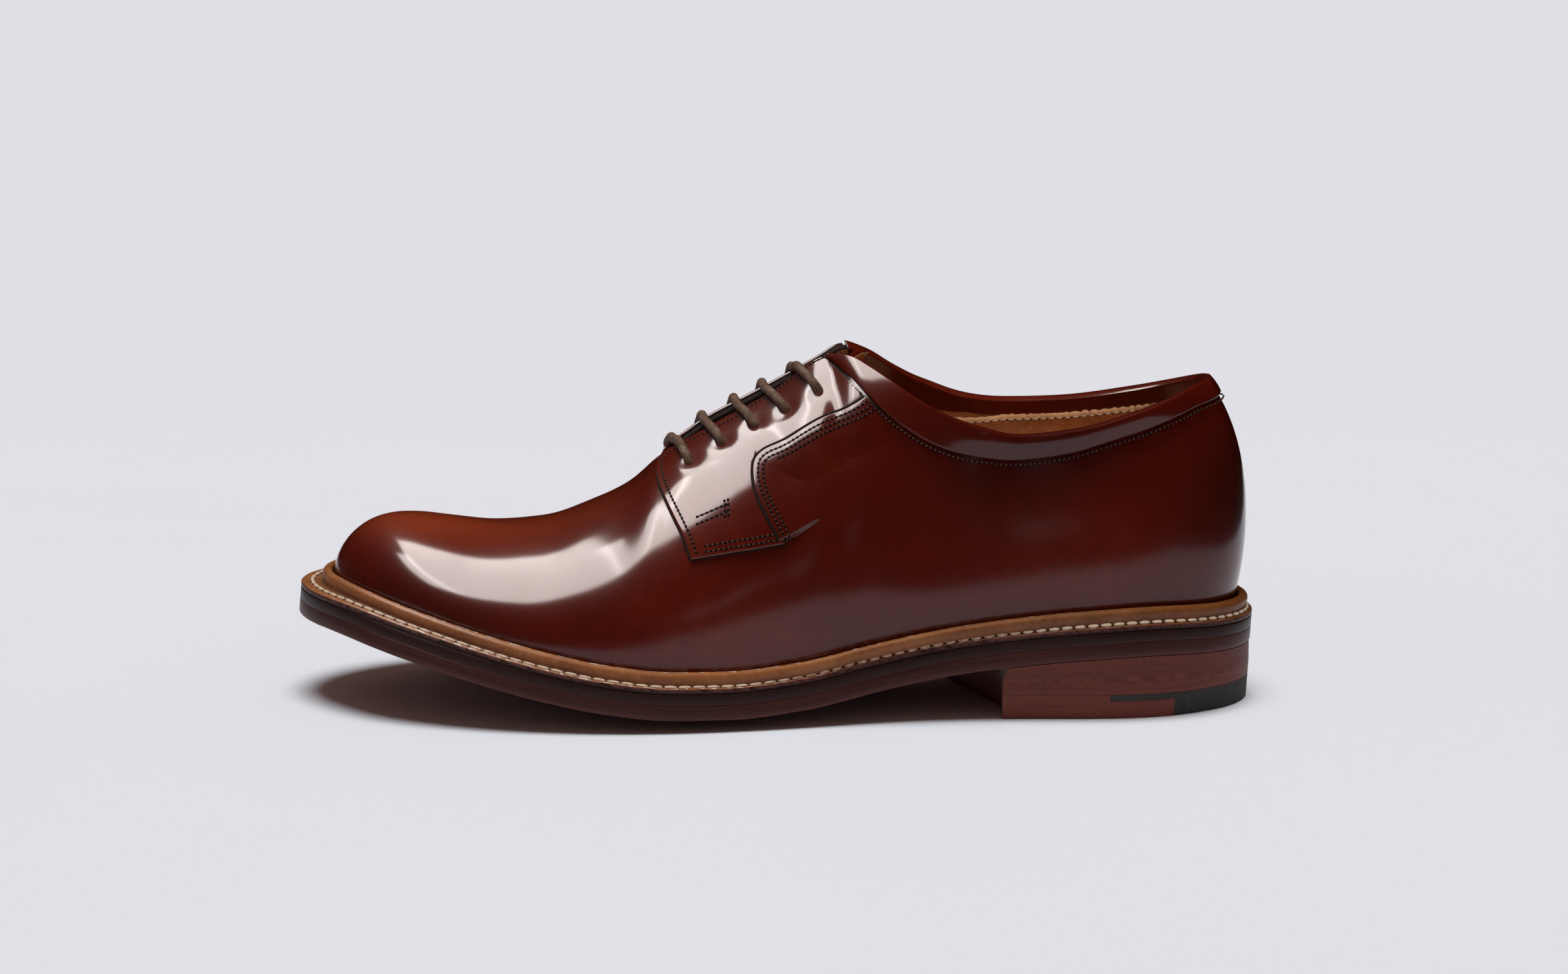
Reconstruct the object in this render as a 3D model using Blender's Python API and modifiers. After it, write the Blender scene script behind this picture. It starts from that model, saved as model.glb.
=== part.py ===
# Derby shoe, left foot. Metres, +X to the toe, +Y to the outer (lateral) side, +Z up.
import math

import bmesh
import bpy
import numpy as np
from mathutils import Matrix, Vector

# Named sizes in metres
SHOE_LENGTH = 0.3048
BALL_WIDTH = 0.1054
TOP_HEIGHT = 0.1125
WELT_THICKNESS = 0.0022
MIDSOLE_THICKNESS = 0.0030
OUTSOLE_THICKNESS = 0.0045
INSOLE_RISE = 0.0030
WALL = 0.0020
FACING_THICKNESS = 0.0014
BAND_THICKNESS = 0.0009
TONGUE_THICKNESS = 0.0022
LIP_HEIGHT = 0.0047
LIP_WIDTH = 0.0032
TOP_PIECE_HEIGHT = 0.0077
LIFT_HEIGHT = 0.0040
TIP_STRIP = 0.0020
EYELET_RADIUS = 0.0017
LACE_RADIUS = 0.0014
GAP = 0.0003
OVERLAY_GAP = 0.0005
BAND_GAP = 0.0010

SOLE_DEPTH = WELT_THICKNESS + MIDSOLE_THICKNESS + OUTSOLE_THICKNESS + 2.5 * GAP

# Where the upper meets the welt, from the heel back round the lateral side to the toe and back.
# along: share of SHOE_LENGTH from the heel back; across: share of BALL_WIDTH, lateral positive.
FEATHER = (
    # along, across
    (0.0226, 0.0000),
    (0.0440, 0.1613),
    (0.1030, 0.2704),
    (0.1949, 0.3036),
    (0.2933, 0.3083),
    (0.4081, 0.3416),
    (0.5230, 0.4080),
    (0.6214, 0.4412),
    (0.7198, 0.4317),
    (0.8150, 0.3700),
    (0.8953, 0.2514),
    (0.9429, 0.1044),
    (0.9610, -0.0380),
    (0.9462, -0.1898),
    (0.8970, -0.3178),
    (0.8150, -0.4080),
    (0.7198, -0.4412),
    (0.6378, -0.4222),
    (0.5230, -0.3226),
    (0.4081, -0.2467),
    (0.2933, -0.2514),
    (0.1949, -0.2799),
    (0.1030, -0.2609),
    (0.0440, -0.1565),
)
TOE_ROW = 12

# The welt's flat top along the foot, and how far the sole dips in the middle.
# height and dip: shares of TOP_HEIGHT.
SOLE_RISE = (
    # along, height, dip
    (0.0000, 0.2578, 0.0000),
    (0.0522, 0.2667, 0.0000),
    (0.1145, 0.2738, 0.0000),
    (0.1923, 0.2631, 0.0000),
    (0.2687, 0.2427, 0.0000),
    (0.3333, 0.2187, 0.0053),
    (0.4045, 0.1813, 0.0142),
    (0.4754, 0.1422, 0.0276),
    (0.5456, 0.1271, 0.0400),
    (0.6030, 0.1289, 0.0427),
    (0.6640, 0.1467, 0.0382),
    (0.7254, 0.1787, 0.0311),
    (0.7894, 0.2204, 0.0231),
    (0.8615, 0.2702, 0.0142),
    (0.9344, 0.3129, 0.0044),
    (1.0000, 0.3316, 0.0000),
)

# How far the welt's edge stands out from the upper, as a share of BALL_WIDTH.
# station: 0 at the heel back, 1 at the toe, along either side.
SOLE_MARGIN = (
    # station, margin
    (0.00, 0.0600),
    (0.10, 0.0510),
    (0.20, 0.0493),
    (0.30, 0.0455),
    (0.40, 0.0436),
    (0.50, 0.0474),
    (0.60, 0.0550),
    (0.70, 0.0598),
    (0.80, 0.0645),
    (0.90, 0.0759),
    (1.00, 0.0985),
)

# The upper's ribs. Each one rises from its station on the feather line to a point of the top
# line, which is the heel, the topline, the facing's edge, or the ridge of the vamp.
# lean: degrees outward at the foot; rise: degrees above level where it reaches the top line;
# foot reach and top reach: lengths of the curve's handles as shares of its chord.
LATERAL_RIBS = (
    # station, along, across, height, lean, foot reach, rise, top reach
    (0.000, 0.0538, 0.0000, 0.9084, 14, 0.40, 52, 0.30),
    (0.036, 0.0594, 0.0806, 0.9067, 13, 0.40, 58, 0.31),
    (0.071, 0.0751, 0.1537, 0.9004, 12, 0.40, 70, 0.33),
    (0.100, 0.0981, 0.2068, 0.8764, 10, 0.40, 76, 0.33),
    (0.149, 0.1391, 0.2514, 0.8382, 9, 0.40, 81, 0.33),
    (0.218, 0.1995, 0.2751, 0.7964, 8, 0.40, 84, 0.33),
    (0.270, 0.2539, 0.2799, 0.7822, 7, 0.40, 84, 0.33),
    (0.313, 0.2966, 0.2846, 0.8071, 5, 0.40, 83, 0.33),
    (0.347, 0.3327, 0.2818, 0.8436, 4, 0.41, 80, 0.33),
    (0.371, 0.3655, 0.2638, 0.8951, 3, 0.42, 73, 0.33),
    (0.396, 0.3967, 0.2249, 0.9511, 3, 0.44, 60, 0.34),
    (0.418, 0.4245, 0.1660, 0.9849, 3, 0.46, 46, 0.35),
    (0.443, 0.4491, 0.0996, 0.9778, 3, 0.48, 34, 0.36),
    (0.490, 0.5010, 0.0882, 0.8738, 3, 0.48, 24, 0.36),
    (0.528, 0.5361, 0.0835, 0.8169, 3, 0.47, 20, 0.37),
    (0.566, 0.5722, 0.0787, 0.7618, 3, 0.46, 16, 0.38),
    (0.594, 0.5968, 0.0693, 0.7218, 4, 0.45, 12, 0.39),
    (0.612, 0.6099, 0.0332, 0.6987, 4, 0.45, 6, 0.40),
    (0.625, 0.6198, 0.0000, 0.6809, 4, 0.45, 0, 0.41),
    (0.655, 0.6509, 0.0000, 0.6071, 5, 0.44, 0, 0.42),
    (0.695, 0.6903, -0.0066, 0.5529, 6, 0.43, 0, 0.42),
    (0.745, 0.7428, -0.0142, 0.5022, 7, 0.42, 0, 0.42),
    (0.790, 0.7953, -0.0190, 0.4898, 7, 0.42, 0, 0.42),
    (0.829, 0.8412, -0.0237, 0.5022, 7, 0.42, 0, 0.42),
    (0.860, 0.8707, -0.0285, 0.5129, 6, 0.42, 0, 0.42),
    (0.891, 0.8871, -0.0285, 0.5156, 5, 0.38, 0, 0.41),
    (0.920, 0.8894, -0.0285, 0.5156, 5, 0.36, 0, 0.40),
)
MEDIAL_RIBS = (
    # station, along, across, height, lean, foot reach, rise, top reach
    (0.000, 0.0538, 0.0000, 0.9084, 14, 0.40, 52, 0.30),
    (0.036, 0.0587, -0.0787, 0.8978, 13, 0.40, 58, 0.31),
    (0.069, 0.0735, -0.1518, 0.8791, 12, 0.40, 70, 0.33),
    (0.099, 0.0948, -0.2040, 0.8587, 12, 0.40, 76, 0.33),
    (0.147, 0.1325, -0.2467, 0.8338, 11, 0.40, 81, 0.33),
    (0.215, 0.1998, -0.2732, 0.8080, 11, 0.40, 84, 0.33),
    (0.268, 0.2556, -0.2770, 0.8027, 12, 0.40, 84, 0.33),
    (0.311, 0.3031, -0.2732, 0.8196, 13, 0.40, 82, 0.33),
    (0.345, 0.3425, -0.2638, 0.8569, 14, 0.41, 78, 0.33),
    (0.375, 0.3737, -0.2353, 0.9031, 15, 0.42, 70, 0.34),
    (0.400, 0.4016, -0.1755, 0.9564, 15, 0.43, 56, 0.35),
    (0.425, 0.4295, -0.1091, 0.9867, 14, 0.45, 42, 0.36),
    (0.450, 0.4508, -0.0977, 0.9547, 13, 0.46, 32, 0.36),
    (0.490, 0.4934, -0.0949, 0.8862, 11, 0.47, 24, 0.36),
    (0.528, 0.5328, -0.0930, 0.8267, 9, 0.47, 20, 0.37),
    (0.566, 0.5709, -0.0854, 0.7716, 7, 0.46, 16, 0.38),
    (0.594, 0.5968, -0.0693, 0.7218, 6, 0.45, 12, 0.39),
    (0.612, 0.6099, -0.0332, 0.6987, 5, 0.45, 6, 0.40),
    (0.625, 0.6198, 0.0000, 0.6809, 4, 0.45, 0, 0.41),
    (0.655, 0.6509, 0.0000, 0.6071, 5, 0.44, 0, 0.42),
    (0.695, 0.6903, -0.0066, 0.5529, 6, 0.43, 0, 0.42),
    (0.745, 0.7428, -0.0142, 0.5022, 7, 0.42, 0, 0.42),
    (0.790, 0.7953, -0.0190, 0.4898, 7, 0.42, 0, 0.42),
    (0.829, 0.8412, -0.0237, 0.5022, 7, 0.42, 0, 0.42),
    (0.860, 0.8707, -0.0285, 0.5129, 6, 0.42, 0, 0.42),
    (0.891, 0.8871, -0.0285, 0.5156, 5, 0.38, 0, 0.41),
    (0.920, 0.8894, -0.0285, 0.5156, 5, 0.36, 0, 0.40),
)
RIBS = {1: LATERAL_RIBS, -1: MEDIAL_RIBS}
THROAT_STATION = 0.640
CORNER_STATION = {1: 0.443, -1: 0.425}
RING_COUNT = 31

# The heel breast across the heel, lateral to medial.
BREAST = (
    # across, along
    (0.3416, 0.2687),
    (0.1708, 0.2671),
    (0.0759, 0.2789),
    (-0.0095, 0.2900),
    (-0.1015, 0.3025),
    (-0.1803, 0.3143),
    (-0.2846, 0.3245),
)
TIP_FRONT = 0.0915
STRIP_FRONT = 0.1588

# The facing tab, front edge first. Each row is a line on the upper's surface, from the tab's
# lower outline (low, level) up to the facing's edge (top); bow and skew bend it forward.
FACING = (
    # top, low, level, bow, skew
    (0.614, 0.580, 0.405, 0.017, 1.6),
    (0.592, 0.560, 0.400, 0.010, 1.4),
    (0.570, 0.538, 0.395, 0.008, 1.2),
    (0.548, 0.514, 0.385, 0.010, 1.0),
    (0.530, 0.490, 0.375, 0.012, 0.8),
    (0.527, 0.499, 0.445, 0.009, 0.8),
    (0.524, 0.509, 0.530, 0.006, 0.8),
    (0.521, 0.516, 0.620, 0.002, 0.8),
    (0.512, 0.515, 0.695, 0.000, 1.0),
    (0.499, 0.503, 0.725, 0.000, 1.0),
    (0.485, 0.485, 0.722, 0.000, 1.0),
    (0.470, 0.462, 0.724, 0.000, 1.0),
    (0.457, 0.438, 0.745, 0.000, 1.0),
    (0.448, 0.416, 0.805, 0.000, 1.0),
    (0.445, 0.406, 0.860, 0.000, 1.0),
)
# The collar band's lower edge, as a level up the ribs.
BAND = (
    # station, level
    (0.000, 0.905),
    (0.076, 0.915),
    (0.150, 0.905),
    (0.186, 0.902),
    (0.218, 0.887),
    (0.276, 0.875),
    (0.306, 0.862),
    (0.336, 0.852),
    (0.360, 0.850),
    (0.386, 0.856),
    (0.405, 0.880),
    (0.425, 0.944),
    (0.445, 0.998),
)
EYELETS = (
    # station, level
    (0.580, 0.825),
    (0.546, 0.850),
    (0.512, 0.868),
    (0.480, 0.865),
    (0.452, 0.855),
)

MEDIAL_LEAD = 0.006

COLORS = {
    "upper_leather": (0.105, 0.022, 0.010),
    "welt_leather": (0.300, 0.120, 0.045),
    "midsole_edge": (0.045, 0.016, 0.013),
    "sole_edge": (0.115, 0.037, 0.028),
    "heel_leather": (0.120, 0.040, 0.030),
    "tip_rubber": (0.030, 0.028, 0.026),
    "lining_leather": (0.420, 0.220, 0.100),
    "lace_cord": (0.150, 0.090, 0.060),
}
ROUGHNESS = {
    "upper_leather": 0.18,
    "welt_leather": 0.45,
    "midsole_edge": 0.5,
    "sole_edge": 0.45,
    "heel_leather": 0.45,
    "tip_rubber": 0.7,
    "lining_leather": 0.75,
    "lace_cord": 0.6,
}


def slopes(x, y):
    """Slopes of a smooth curve through the points that never overshoots them."""
    step = np.diff(x)
    secant = np.diff(y, axis=0) / step[:, None]
    m = np.zeros_like(y)
    left, right = secant[:-1], secant[1:]
    w1 = (2 * step[1:] + step[:-1])[:, None]
    w2 = (step[1:] + 2 * step[:-1])[:, None]
    same = left * right > 0
    with np.errstate(divide="ignore", invalid="ignore"):
        mean = (w1 + w2) / (w1 / left + w2 / right)
    m[1:-1] = np.where(same, mean, 0.0)
    m[0], m[-1] = secant[0], secant[-1]
    return m


def through(x, y, at):
    """Read the smooth curve through the rows (x, y) at each value."""
    x, y, at = np.asarray(x, float), np.asarray(y, float), np.asarray(at, float)
    m = slopes(x, y)
    i = np.clip(np.searchsorted(x, at) - 1, 0, len(x) - 2)
    h = x[i + 1] - x[i]
    t = np.clip((at - x[i]) / h, 0, 1)[..., None]
    h = h[..., None]
    a, b = y[i], y[i + 1]
    da, db = m[i] * h, m[i + 1] * h
    return (a * (2 * t**3 - 3 * t**2 + 1) + da * (t**3 - 2 * t**2 + t)
            + b * (3 * t**2 - 2 * t**3) + db * (t**3 - t**2))


def table(rows, at):
    """Read a table whose first column is the station, softened over its neighbours."""
    rows = np.array(rows, float)
    total = 0
    for shift, weight in ((-0.008, 1), (-0.004, 2), (0, 3), (0.004, 2), (0.008, 1)):
        total = total + weight * through(rows[:, 0], rows[:, 1:], np.asarray(at) + shift)
    return total / 9


def closed_line(rows, count):
    """Points on the smooth closed curve through the rows, count to each span."""
    pts = np.array(rows, float) * (SHOE_LENGTH, BALL_WIDTH) - (SHOE_LENGTH / 2, 0)
    n = len(pts)
    chord = np.linalg.norm(np.roll(pts, -1, 0) - pts, axis=1)
    matrix = np.zeros((n, n))
    right = np.zeros((n, 2))
    for i in range(n):
        before, after = chord[i - 1], chord[i]
        matrix[i, i - 1] = before
        matrix[i, i] = 2 * (before + after)
        matrix[i, (i + 1) % n] = after
        right[i] = 6 * ((pts[(i + 1) % n] - pts[i]) / after - (pts[i] - pts[i - 1]) / before)
    bend = np.linalg.solve(matrix, right)
    out = []
    for i in range(n):
        j, h = (i + 1) % n, chord[i]
        t = np.linspace(0, 1, count, endpoint=False)[:, None]
        a, b = 1 - t, t
        out.append(a * pts[i] + b * pts[j]
                   + ((a**3 - a) * bend[i] + (b**3 - b) * bend[j]) * h * h / 6)
    return np.concatenate(out)


SPAN = 120
LINE = closed_line(FEATHER, SPAN)
SIDES = {
    1: LINE[:TOE_ROW * SPAN + 1],
    -1: np.concatenate([LINE[:1], LINE[TOE_ROW * SPAN:][::-1]]),
}


def feather(side, station):
    """Plan points of the feather line and its outward normals."""
    line = SIDES[side]
    arc = np.concatenate([[0], np.cumsum(np.linalg.norm(np.diff(line, axis=0), axis=1))])
    arc /= arc[-1]
    at = np.asarray(station, float)
    pts = np.stack([np.interp(at, arc, line[:, k]) for k in (0, 1)], -1)
    tangent = np.gradient(line, axis=0)
    tangent[0] = (0, side)
    tangent[-1] = (0, -side)
    tan = np.stack([np.interp(at, arc, tangent[:, k]) for k in (0, 1)], -1)
    tan /= np.linalg.norm(tan, axis=-1, keepdims=True)
    normal = np.stack([-tan[..., 1], tan[..., 0]], -1) * side
    return pts, normal


def sole_middle(x):
    """Middle and half width of the sole at each x."""
    grid = np.linspace(0.03, 0.97, 200)
    lateral, _ = feather(1, grid)
    medial, _ = feather(-1, grid)
    y1 = np.interp(x, lateral[:, 0], lateral[:, 1])
    y2 = np.interp(x, medial[:, 0], medial[:, 1])
    return (y1 + y2) / 2, np.maximum((y1 - y2) / 2 + 0.055 * BALL_WIDTH, 0.2 * BALL_WIDTH)


def sole_height(x, y):
    """Height of the welt's flat top at plan points."""
    along = x / SHOE_LENGTH + 0.5
    rise = table(SOLE_RISE, along) * TOP_HEIGHT
    middle, half = sole_middle(x)
    share = np.clip((y - middle) / half, -1.15, 1.15)
    return rise[..., 0] - rise[..., 1] * (1 - share**2)


def sole_point(plan, depth):
    """Points below (depth positive) or above the welt's flat top, square to it."""
    x, y = plan[..., 0], plan[..., 1]
    step = 0.002
    slope = (sole_height(x + step, y) - sole_height(x - step, y)) / (2 * step)
    length = np.sqrt(1 + slope**2)
    z = sole_height(x, y)
    return np.stack([x + depth * slope / length, y, z - depth / length], -1)


def margin(station):
    return table(SOLE_MARGIN, station)[..., 0] * BALL_WIDTH


def surface(side, station, level):
    """Outer surface of the upper: side 1 lateral or -1 medial, station along, level 0 to 1 up."""
    station, level = np.broadcast_arrays(np.asarray(station, float), np.asarray(level, float))
    rows = table(RIBS[side], station)
    plan, normal = feather(side, station)
    foot = sole_point(plan, -GAP)
    top = np.stack([(rows[..., 0] - 0.5) * SHOE_LENGTH, rows[..., 1] * BALL_WIDTH,
                    rows[..., 2] * TOP_HEIGHT], -1)
    inward = top[..., :2] - foot[..., :2] - 0.3 * BALL_WIDTH * normal
    inward /= np.linalg.norm(inward, axis=-1, keepdims=True)
    chord = np.linalg.norm(top - foot, axis=-1)[..., None]
    lean = np.radians(rows[..., 3:4])
    rise = np.radians(rows[..., 5:6])
    out = np.concatenate([-inward * np.sin(lean), np.cos(lean)], -1)
    over = np.concatenate([inward * np.cos(rise), np.sin(rise)], -1)
    over[..., 2] += ridge_slope(station, top[..., 0]) * inward[..., 0]
    over /= np.linalg.norm(over, axis=-1, keepdims=True)
    p1 = foot + out * chord * rows[..., 4:5]
    p2 = top - over * chord * rows[..., 6:7]
    t = level[..., None]
    return (1 - t)**3 * foot + 3 * (1 - t)**2 * t * p1 + 3 * (1 - t) * t**2 * p2 + t**3 * top


def ridge_slope(station, x):
    """Slope of the vamp's ridge along the foot, nothing behind the throat."""
    rows = np.array([row for row in LATERAL_RIBS if 0.62 < row[0] < 0.9])
    line_x = (rows[:, 1] - 0.5) * SHOE_LENGTH
    line_z = rows[:, 3:4] * TOP_HEIGHT
    step = 0.002
    ahead, behind = through(line_x, line_z, x + step), through(line_x, line_z, x - step)
    weight = np.clip((station - 0.57) / 0.05, 0, 1)
    return weight * (ahead - behind)[..., 0] / (2 * step)


def normals(side, station, level):
    """Outward normals of the upper's surface."""
    step = 0.004
    around = surface(side, station + step, level) - surface(side, station - step, level)
    up = surface(side, station, level + step) - surface(side, station, level - step)
    normal = np.cross(around, up) * -side
    return normal / np.linalg.norm(normal, axis=-1, keepdims=True)


def lifted(side, station, level, height):
    """Points a given height above the upper's surface, or below it."""
    station, level = np.broadcast_arrays(np.asarray(station, float), np.asarray(level, float))
    return surface(side, station, level) + normals(side, station, level) * height


def clean_scene():
    for item in list(bpy.data.objects):
        bpy.data.objects.remove(item, do_unlink=True)


def material(name):
    mat = bpy.data.materials.new(name)
    mat.use_nodes = True
    shader = mat.node_tree.nodes["Principled BSDF"]
    shader.inputs["Base Color"].default_value = (*COLORS[name], 1)
    shader.inputs["Roughness"].default_value = ROUGHNESS[name]
    return mat


def finish(name, bm, mat, smooth=True):
    bmesh.ops.remove_doubles(bm, verts=bm.verts, dist=0.00002)
    bmesh.ops.recalc_face_normals(bm, faces=bm.faces)
    mesh = bpy.data.meshes.new(name)
    bm.to_mesh(mesh)
    bm.free()
    for poly in mesh.polygons:
        poly.use_smooth = smooth
    mesh.materials.append(mat)
    obj = bpy.data.objects.new(name, mesh)
    bpy.context.scene.collection.objects.link(obj)
    return obj


def grid_faces(bm, grid, close=False):
    """Quads over a grid of points; close joins the last row to the first."""
    verts = [[bm.verts.new(p) for p in row] for row in grid]
    rows = len(verts)
    for i in range(rows if close else rows - 1):
        a, b = verts[i], verts[(i + 1) % rows]
        for j in range(len(a) - 1):
            bm.faces.new((a[j], a[j + 1], b[j + 1], b[j]))
    return verts


def slab(name, mat, high, low, smooth=True):
    """A closed solid between two grids of the same size."""
    bm = bmesh.new()
    top, under = grid_faces(bm, high), grid_faces(bm, low)
    rows, cols = len(top), len(top[0])
    rim = ([(i, 0) for i in range(rows)] + [(rows - 1, j) for j in range(1, cols)]
           + [(i, cols - 1) for i in range(rows - 2, -1, -1)]
           + [(0, j) for j in range(cols - 2, 0, -1)])
    for k, (i, j) in enumerate(rim):
        m, n = rim[(k + 1) % len(rim)]
        bm.faces.new((top[i][j], top[m][n], under[m][n], under[i][j]))
    return finish(name, bm, mat, smooth)


def dropped(grid, depth):
    """The grid moved down along its own normals."""
    normal = np.cross(np.gradient(grid, axis=0), np.gradient(grid, axis=1))
    normal /= np.linalg.norm(normal, axis=-1, keepdims=True)
    return grid - normal * np.sign(normal[..., 2:3]) * depth


def stations(count):
    """Even stations with closer ones at the round ends."""
    t = np.linspace(0, 1, count)
    return t - 0.055 * np.sin(2 * np.pi * t)


def sheet(name, mat, offset, top_depth, low_depth, floor=False, cols=6):
    """A sole layer between two depths, its edge set out from the feather line."""
    at = ring_stations()
    lateral, n1 = feather(1, at)
    medial, n2 = feather(-1, at)
    edge = offset(at)[:, None]
    lateral, medial = lateral + n1 * edge, medial + n2 * edge
    share = np.linspace(0, 1, cols)[None, :, None]
    plan = medial[:, None] * (1 - share) + lateral[:, None] * share
    top, low = sole_point(plan, top_depth), sole_point(plan, low_depth)
    if floor:
        low[..., 2] = np.maximum(low[..., 2], 0)
    return slab(name, mat, top, low, smooth=False)


def ring_stations():
    """One set of stations for the upper and the welt, so that their facets match."""
    at = stations(RING_COUNT)
    marks = np.array([0.365, 0.385, 0.405, *CORNER_STATION.values(), THROAT_STATION])
    near = np.abs(at[:, None] - marks).min(1) < 0.012
    return np.sort(np.concatenate([at[~near], marks]))


def around_shoe(make, at):
    """Rows of points round the shoe: lateral from heel to toe, then medial back to the heel."""
    return np.concatenate([make(1, at), make(-1, at[1:-1][::-1])])


def lip_lean(side, at, heights):
    """How far the upper's wall stands out from its foot at some heights above it."""
    level = np.linspace(0, 0.25, 26)
    wall = surface(side, at[:, None], level[None, :])
    plan, normal = feather(side, at)
    out = np.einsum("ijk,ik->ij", wall[..., :2] - plan[:, None], normal)
    rise = wall[..., 2] - wall[:, :1, 2]
    return np.array([[np.interp(h, rise[i], out[i]) for h in heights] for i in range(len(at))])


def welt(mats):
    def rows(side, at):
        plan, normal = feather(side, at)
        edge = margin(at)
        lean = lip_lean(side, at, (0.5 * LIP_HEIGHT, LIP_HEIGHT)) + 1.9 * GAP
        inner = np.full_like(edge, -(WALL + 2 * GAP))
        foot = np.full_like(edge, 1.5 * GAP)
        flat = ((inner, 0), (inner, WELT_THICKNESS), (edge, WELT_THICKNESS),
                (edge, 0.0006), (edge - 0.0007, 0), (foot + LIP_WIDTH, 0))
        lip = ((lean[:, 0] + 0.98 * LIP_WIDTH, 0.5), (lean[:, 1] + 0.72 * LIP_WIDTH, 0.93),
               (lean[:, 1] + 0.32 * LIP_WIDTH, 1.0), (lean[:, 1], 0.82), (foot, 0))
        points = [sole_point(plan + normal * out[:, None], depth) for out, depth in flat]
        for out, rise in lip:
            point = sole_point(plan + normal * out[:, None], 0)
            point[:, 2] += rise * LIP_HEIGHT
            points.append(point)
        return np.stack(points, 1)
    grid = around_shoe(rows, ring_stations())
    grid = np.concatenate([grid, grid[:, :1]], 1)
    bm = bmesh.new()
    grid_faces(bm, grid, close=True)
    return finish("welt", bm, mats["welt_leather"])


def upper(mats):
    level = np.linspace(0, 1, 11)
    grid = around_shoe(lambda side, at: surface(side, at[:, None], level[None, :]),
                       ring_stations())
    bm = bmesh.new()
    grid_faces(bm, grid, close=True)
    shell = finish("upper", bm, mats["upper_leather"])
    wall = shell.modifiers.new("wall", "SOLIDIFY")
    wall.thickness = WALL
    wall.offset = -1
    wall.use_even_offset = True
    wall.use_quality_normals = True
    return shell


def facing(side, mats):
    """A tab over the upper's surface, from the facing's edge down to its lower outline."""
    rows = np.array(FACING)
    at = np.linspace(0, 1, 17)
    row = through(np.linspace(0, 1, len(rows)), rows, at)
    share = np.linspace(0, 1, 7)
    line = row[:, 1:2] * (1 - share) + row[:, :1] * share
    station = line + row[:, 3:4] * np.sin(np.pi * share**row[:, 4:5])
    station = mirrored(side, station)
    level = row[:, 2:3] * (1 - share) + 0.985 * share
    name = "facing_lateral" if side > 0 else "facing_medial"
    return slab(name, mats["upper_leather"],
                lifted(side, station, level, OVERLAY_GAP + FACING_THICKNESS),
                lifted(side, station, level, OVERLAY_GAP))


def collar_band(mats):
    share = np.linspace(0, 1, 4)
    at = ring_stations()
    at = np.append(at[at < CORNER_STATION[1] - 0.01], CORNER_STATION[1] - 0.008)
    low = table(BAND, at)[..., 0][:, None]
    level = low * (1 - share) + 0.985 * share
    grids = []
    for height in (BAND_GAP + BAND_THICKNESS, BAND_GAP):
        lateral = lifted(1, at[:, None], level, height)
        medial = lifted(-1, mirrored(-1, at)[:, None], level, height)
        grids.append(np.concatenate([medial[::-1], lateral[1:]]))
    return slab("collar_band", mats["upper_leather"], *grids)


def tongue(mats):
    q = np.linspace(0, 1, 13)
    lateral = q * 0.660 + (1 - q) * (CORNER_STATION[1] + 0.012)
    medial = q * 0.660 + (1 - q) * (CORNER_STATION[-1] + 0.012)
    level = np.array([0.80, 0.87, 0.93, 0.98])
    below = -(WALL + 5 * GAP)
    left = lifted(1, lateral[:, None], level[None, :], below)
    right = lifted(-1, medial[:, None], level[None, ::-1], below)
    centre = (left[:, -1:] + right[:, :1]) / 2
    centre[..., 2] += 0.0006
    rows = np.concatenate([left, centre, right], 1)
    climb = rows[0, 4] - rows[3, 4]
    climb /= np.linalg.norm(climb)
    tip = []
    for reach, narrow, drop in ((0.010, 0.55, 0.0008), (0.008, 0.80, 0.0003), (0.004, 0.93, 0)):
        row = rows[0] + climb * reach
        row[:, 1] = row[4, 1] + (row[:, 1] - row[4, 1]) * narrow
        row[:, 2] -= drop
        tip.append(row)
    grid = np.concatenate([np.array(tip), rows])
    return slab("tongue", mats["upper_leather"], grid, dropped(grid, TONGUE_THICKNESS))


def breast_x(y):
    rows = np.array(BREAST)[::-1]
    x = through(rows[:, 0] * BALL_WIDTH, rows[:, 1:], y)[..., 0]
    return (x - 0.5) * SHOE_LENGTH


def heel_side(side, share, count):
    """The heel's outline at a height share, from its back to the breast."""
    at = np.linspace(0, 0.36, 145)
    plan, normal = feather(side, at)
    taper = (0.007 + 0.033 * np.clip(at / 0.08, 0, 1)) * BALL_WIDTH
    plan = plan + normal * (margin(at) - 0.0010 - (1 - share) * taper)[:, None]
    ahead = plan[:, 0] - breast_x(plan[:, 1])
    end = np.interp(0, ahead[70:], at[70:])
    even = np.linspace(0, 1, count)**1.25 * end
    return np.stack([np.interp(even, at, plan[:, k]) for k in (0, 1)], -1)


def heel_layer(name, mat, high, low):
    """A slice of the heel: high and low are heights, or None for the outsole's underside."""
    rows, cols = 14, 7
    top_height = sole_height(-0.3 * SHOE_LENGTH, 0) - SOLE_DEPTH
    across = np.linspace(0, 1, cols)[None, :, None]
    run = np.linspace(0, 1, rows)[:, None]
    sheets = []
    for height in (high, low):
        share = 1.0 if height is None else height / top_height
        lateral = heel_side(1, share, rows)
        medial = heel_side(-1, share, rows)
        plan = medial[:, None] * (1 - across) + lateral[:, None] * across
        shift = breast_x(plan[-1, :, 1]) - plan[-1, :, 0]
        plan[..., 0] += shift[None, :] * run**4
        if height is None:
            sheets.append(sole_point(plan, SOLE_DEPTH + GAP))
        else:
            sheets.append(np.concatenate([plan, np.full(plan.shape[:2] + (1,), height)], -1))
    return slab(name, mat, sheets[0], sheets[1], smooth=False)


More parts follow.
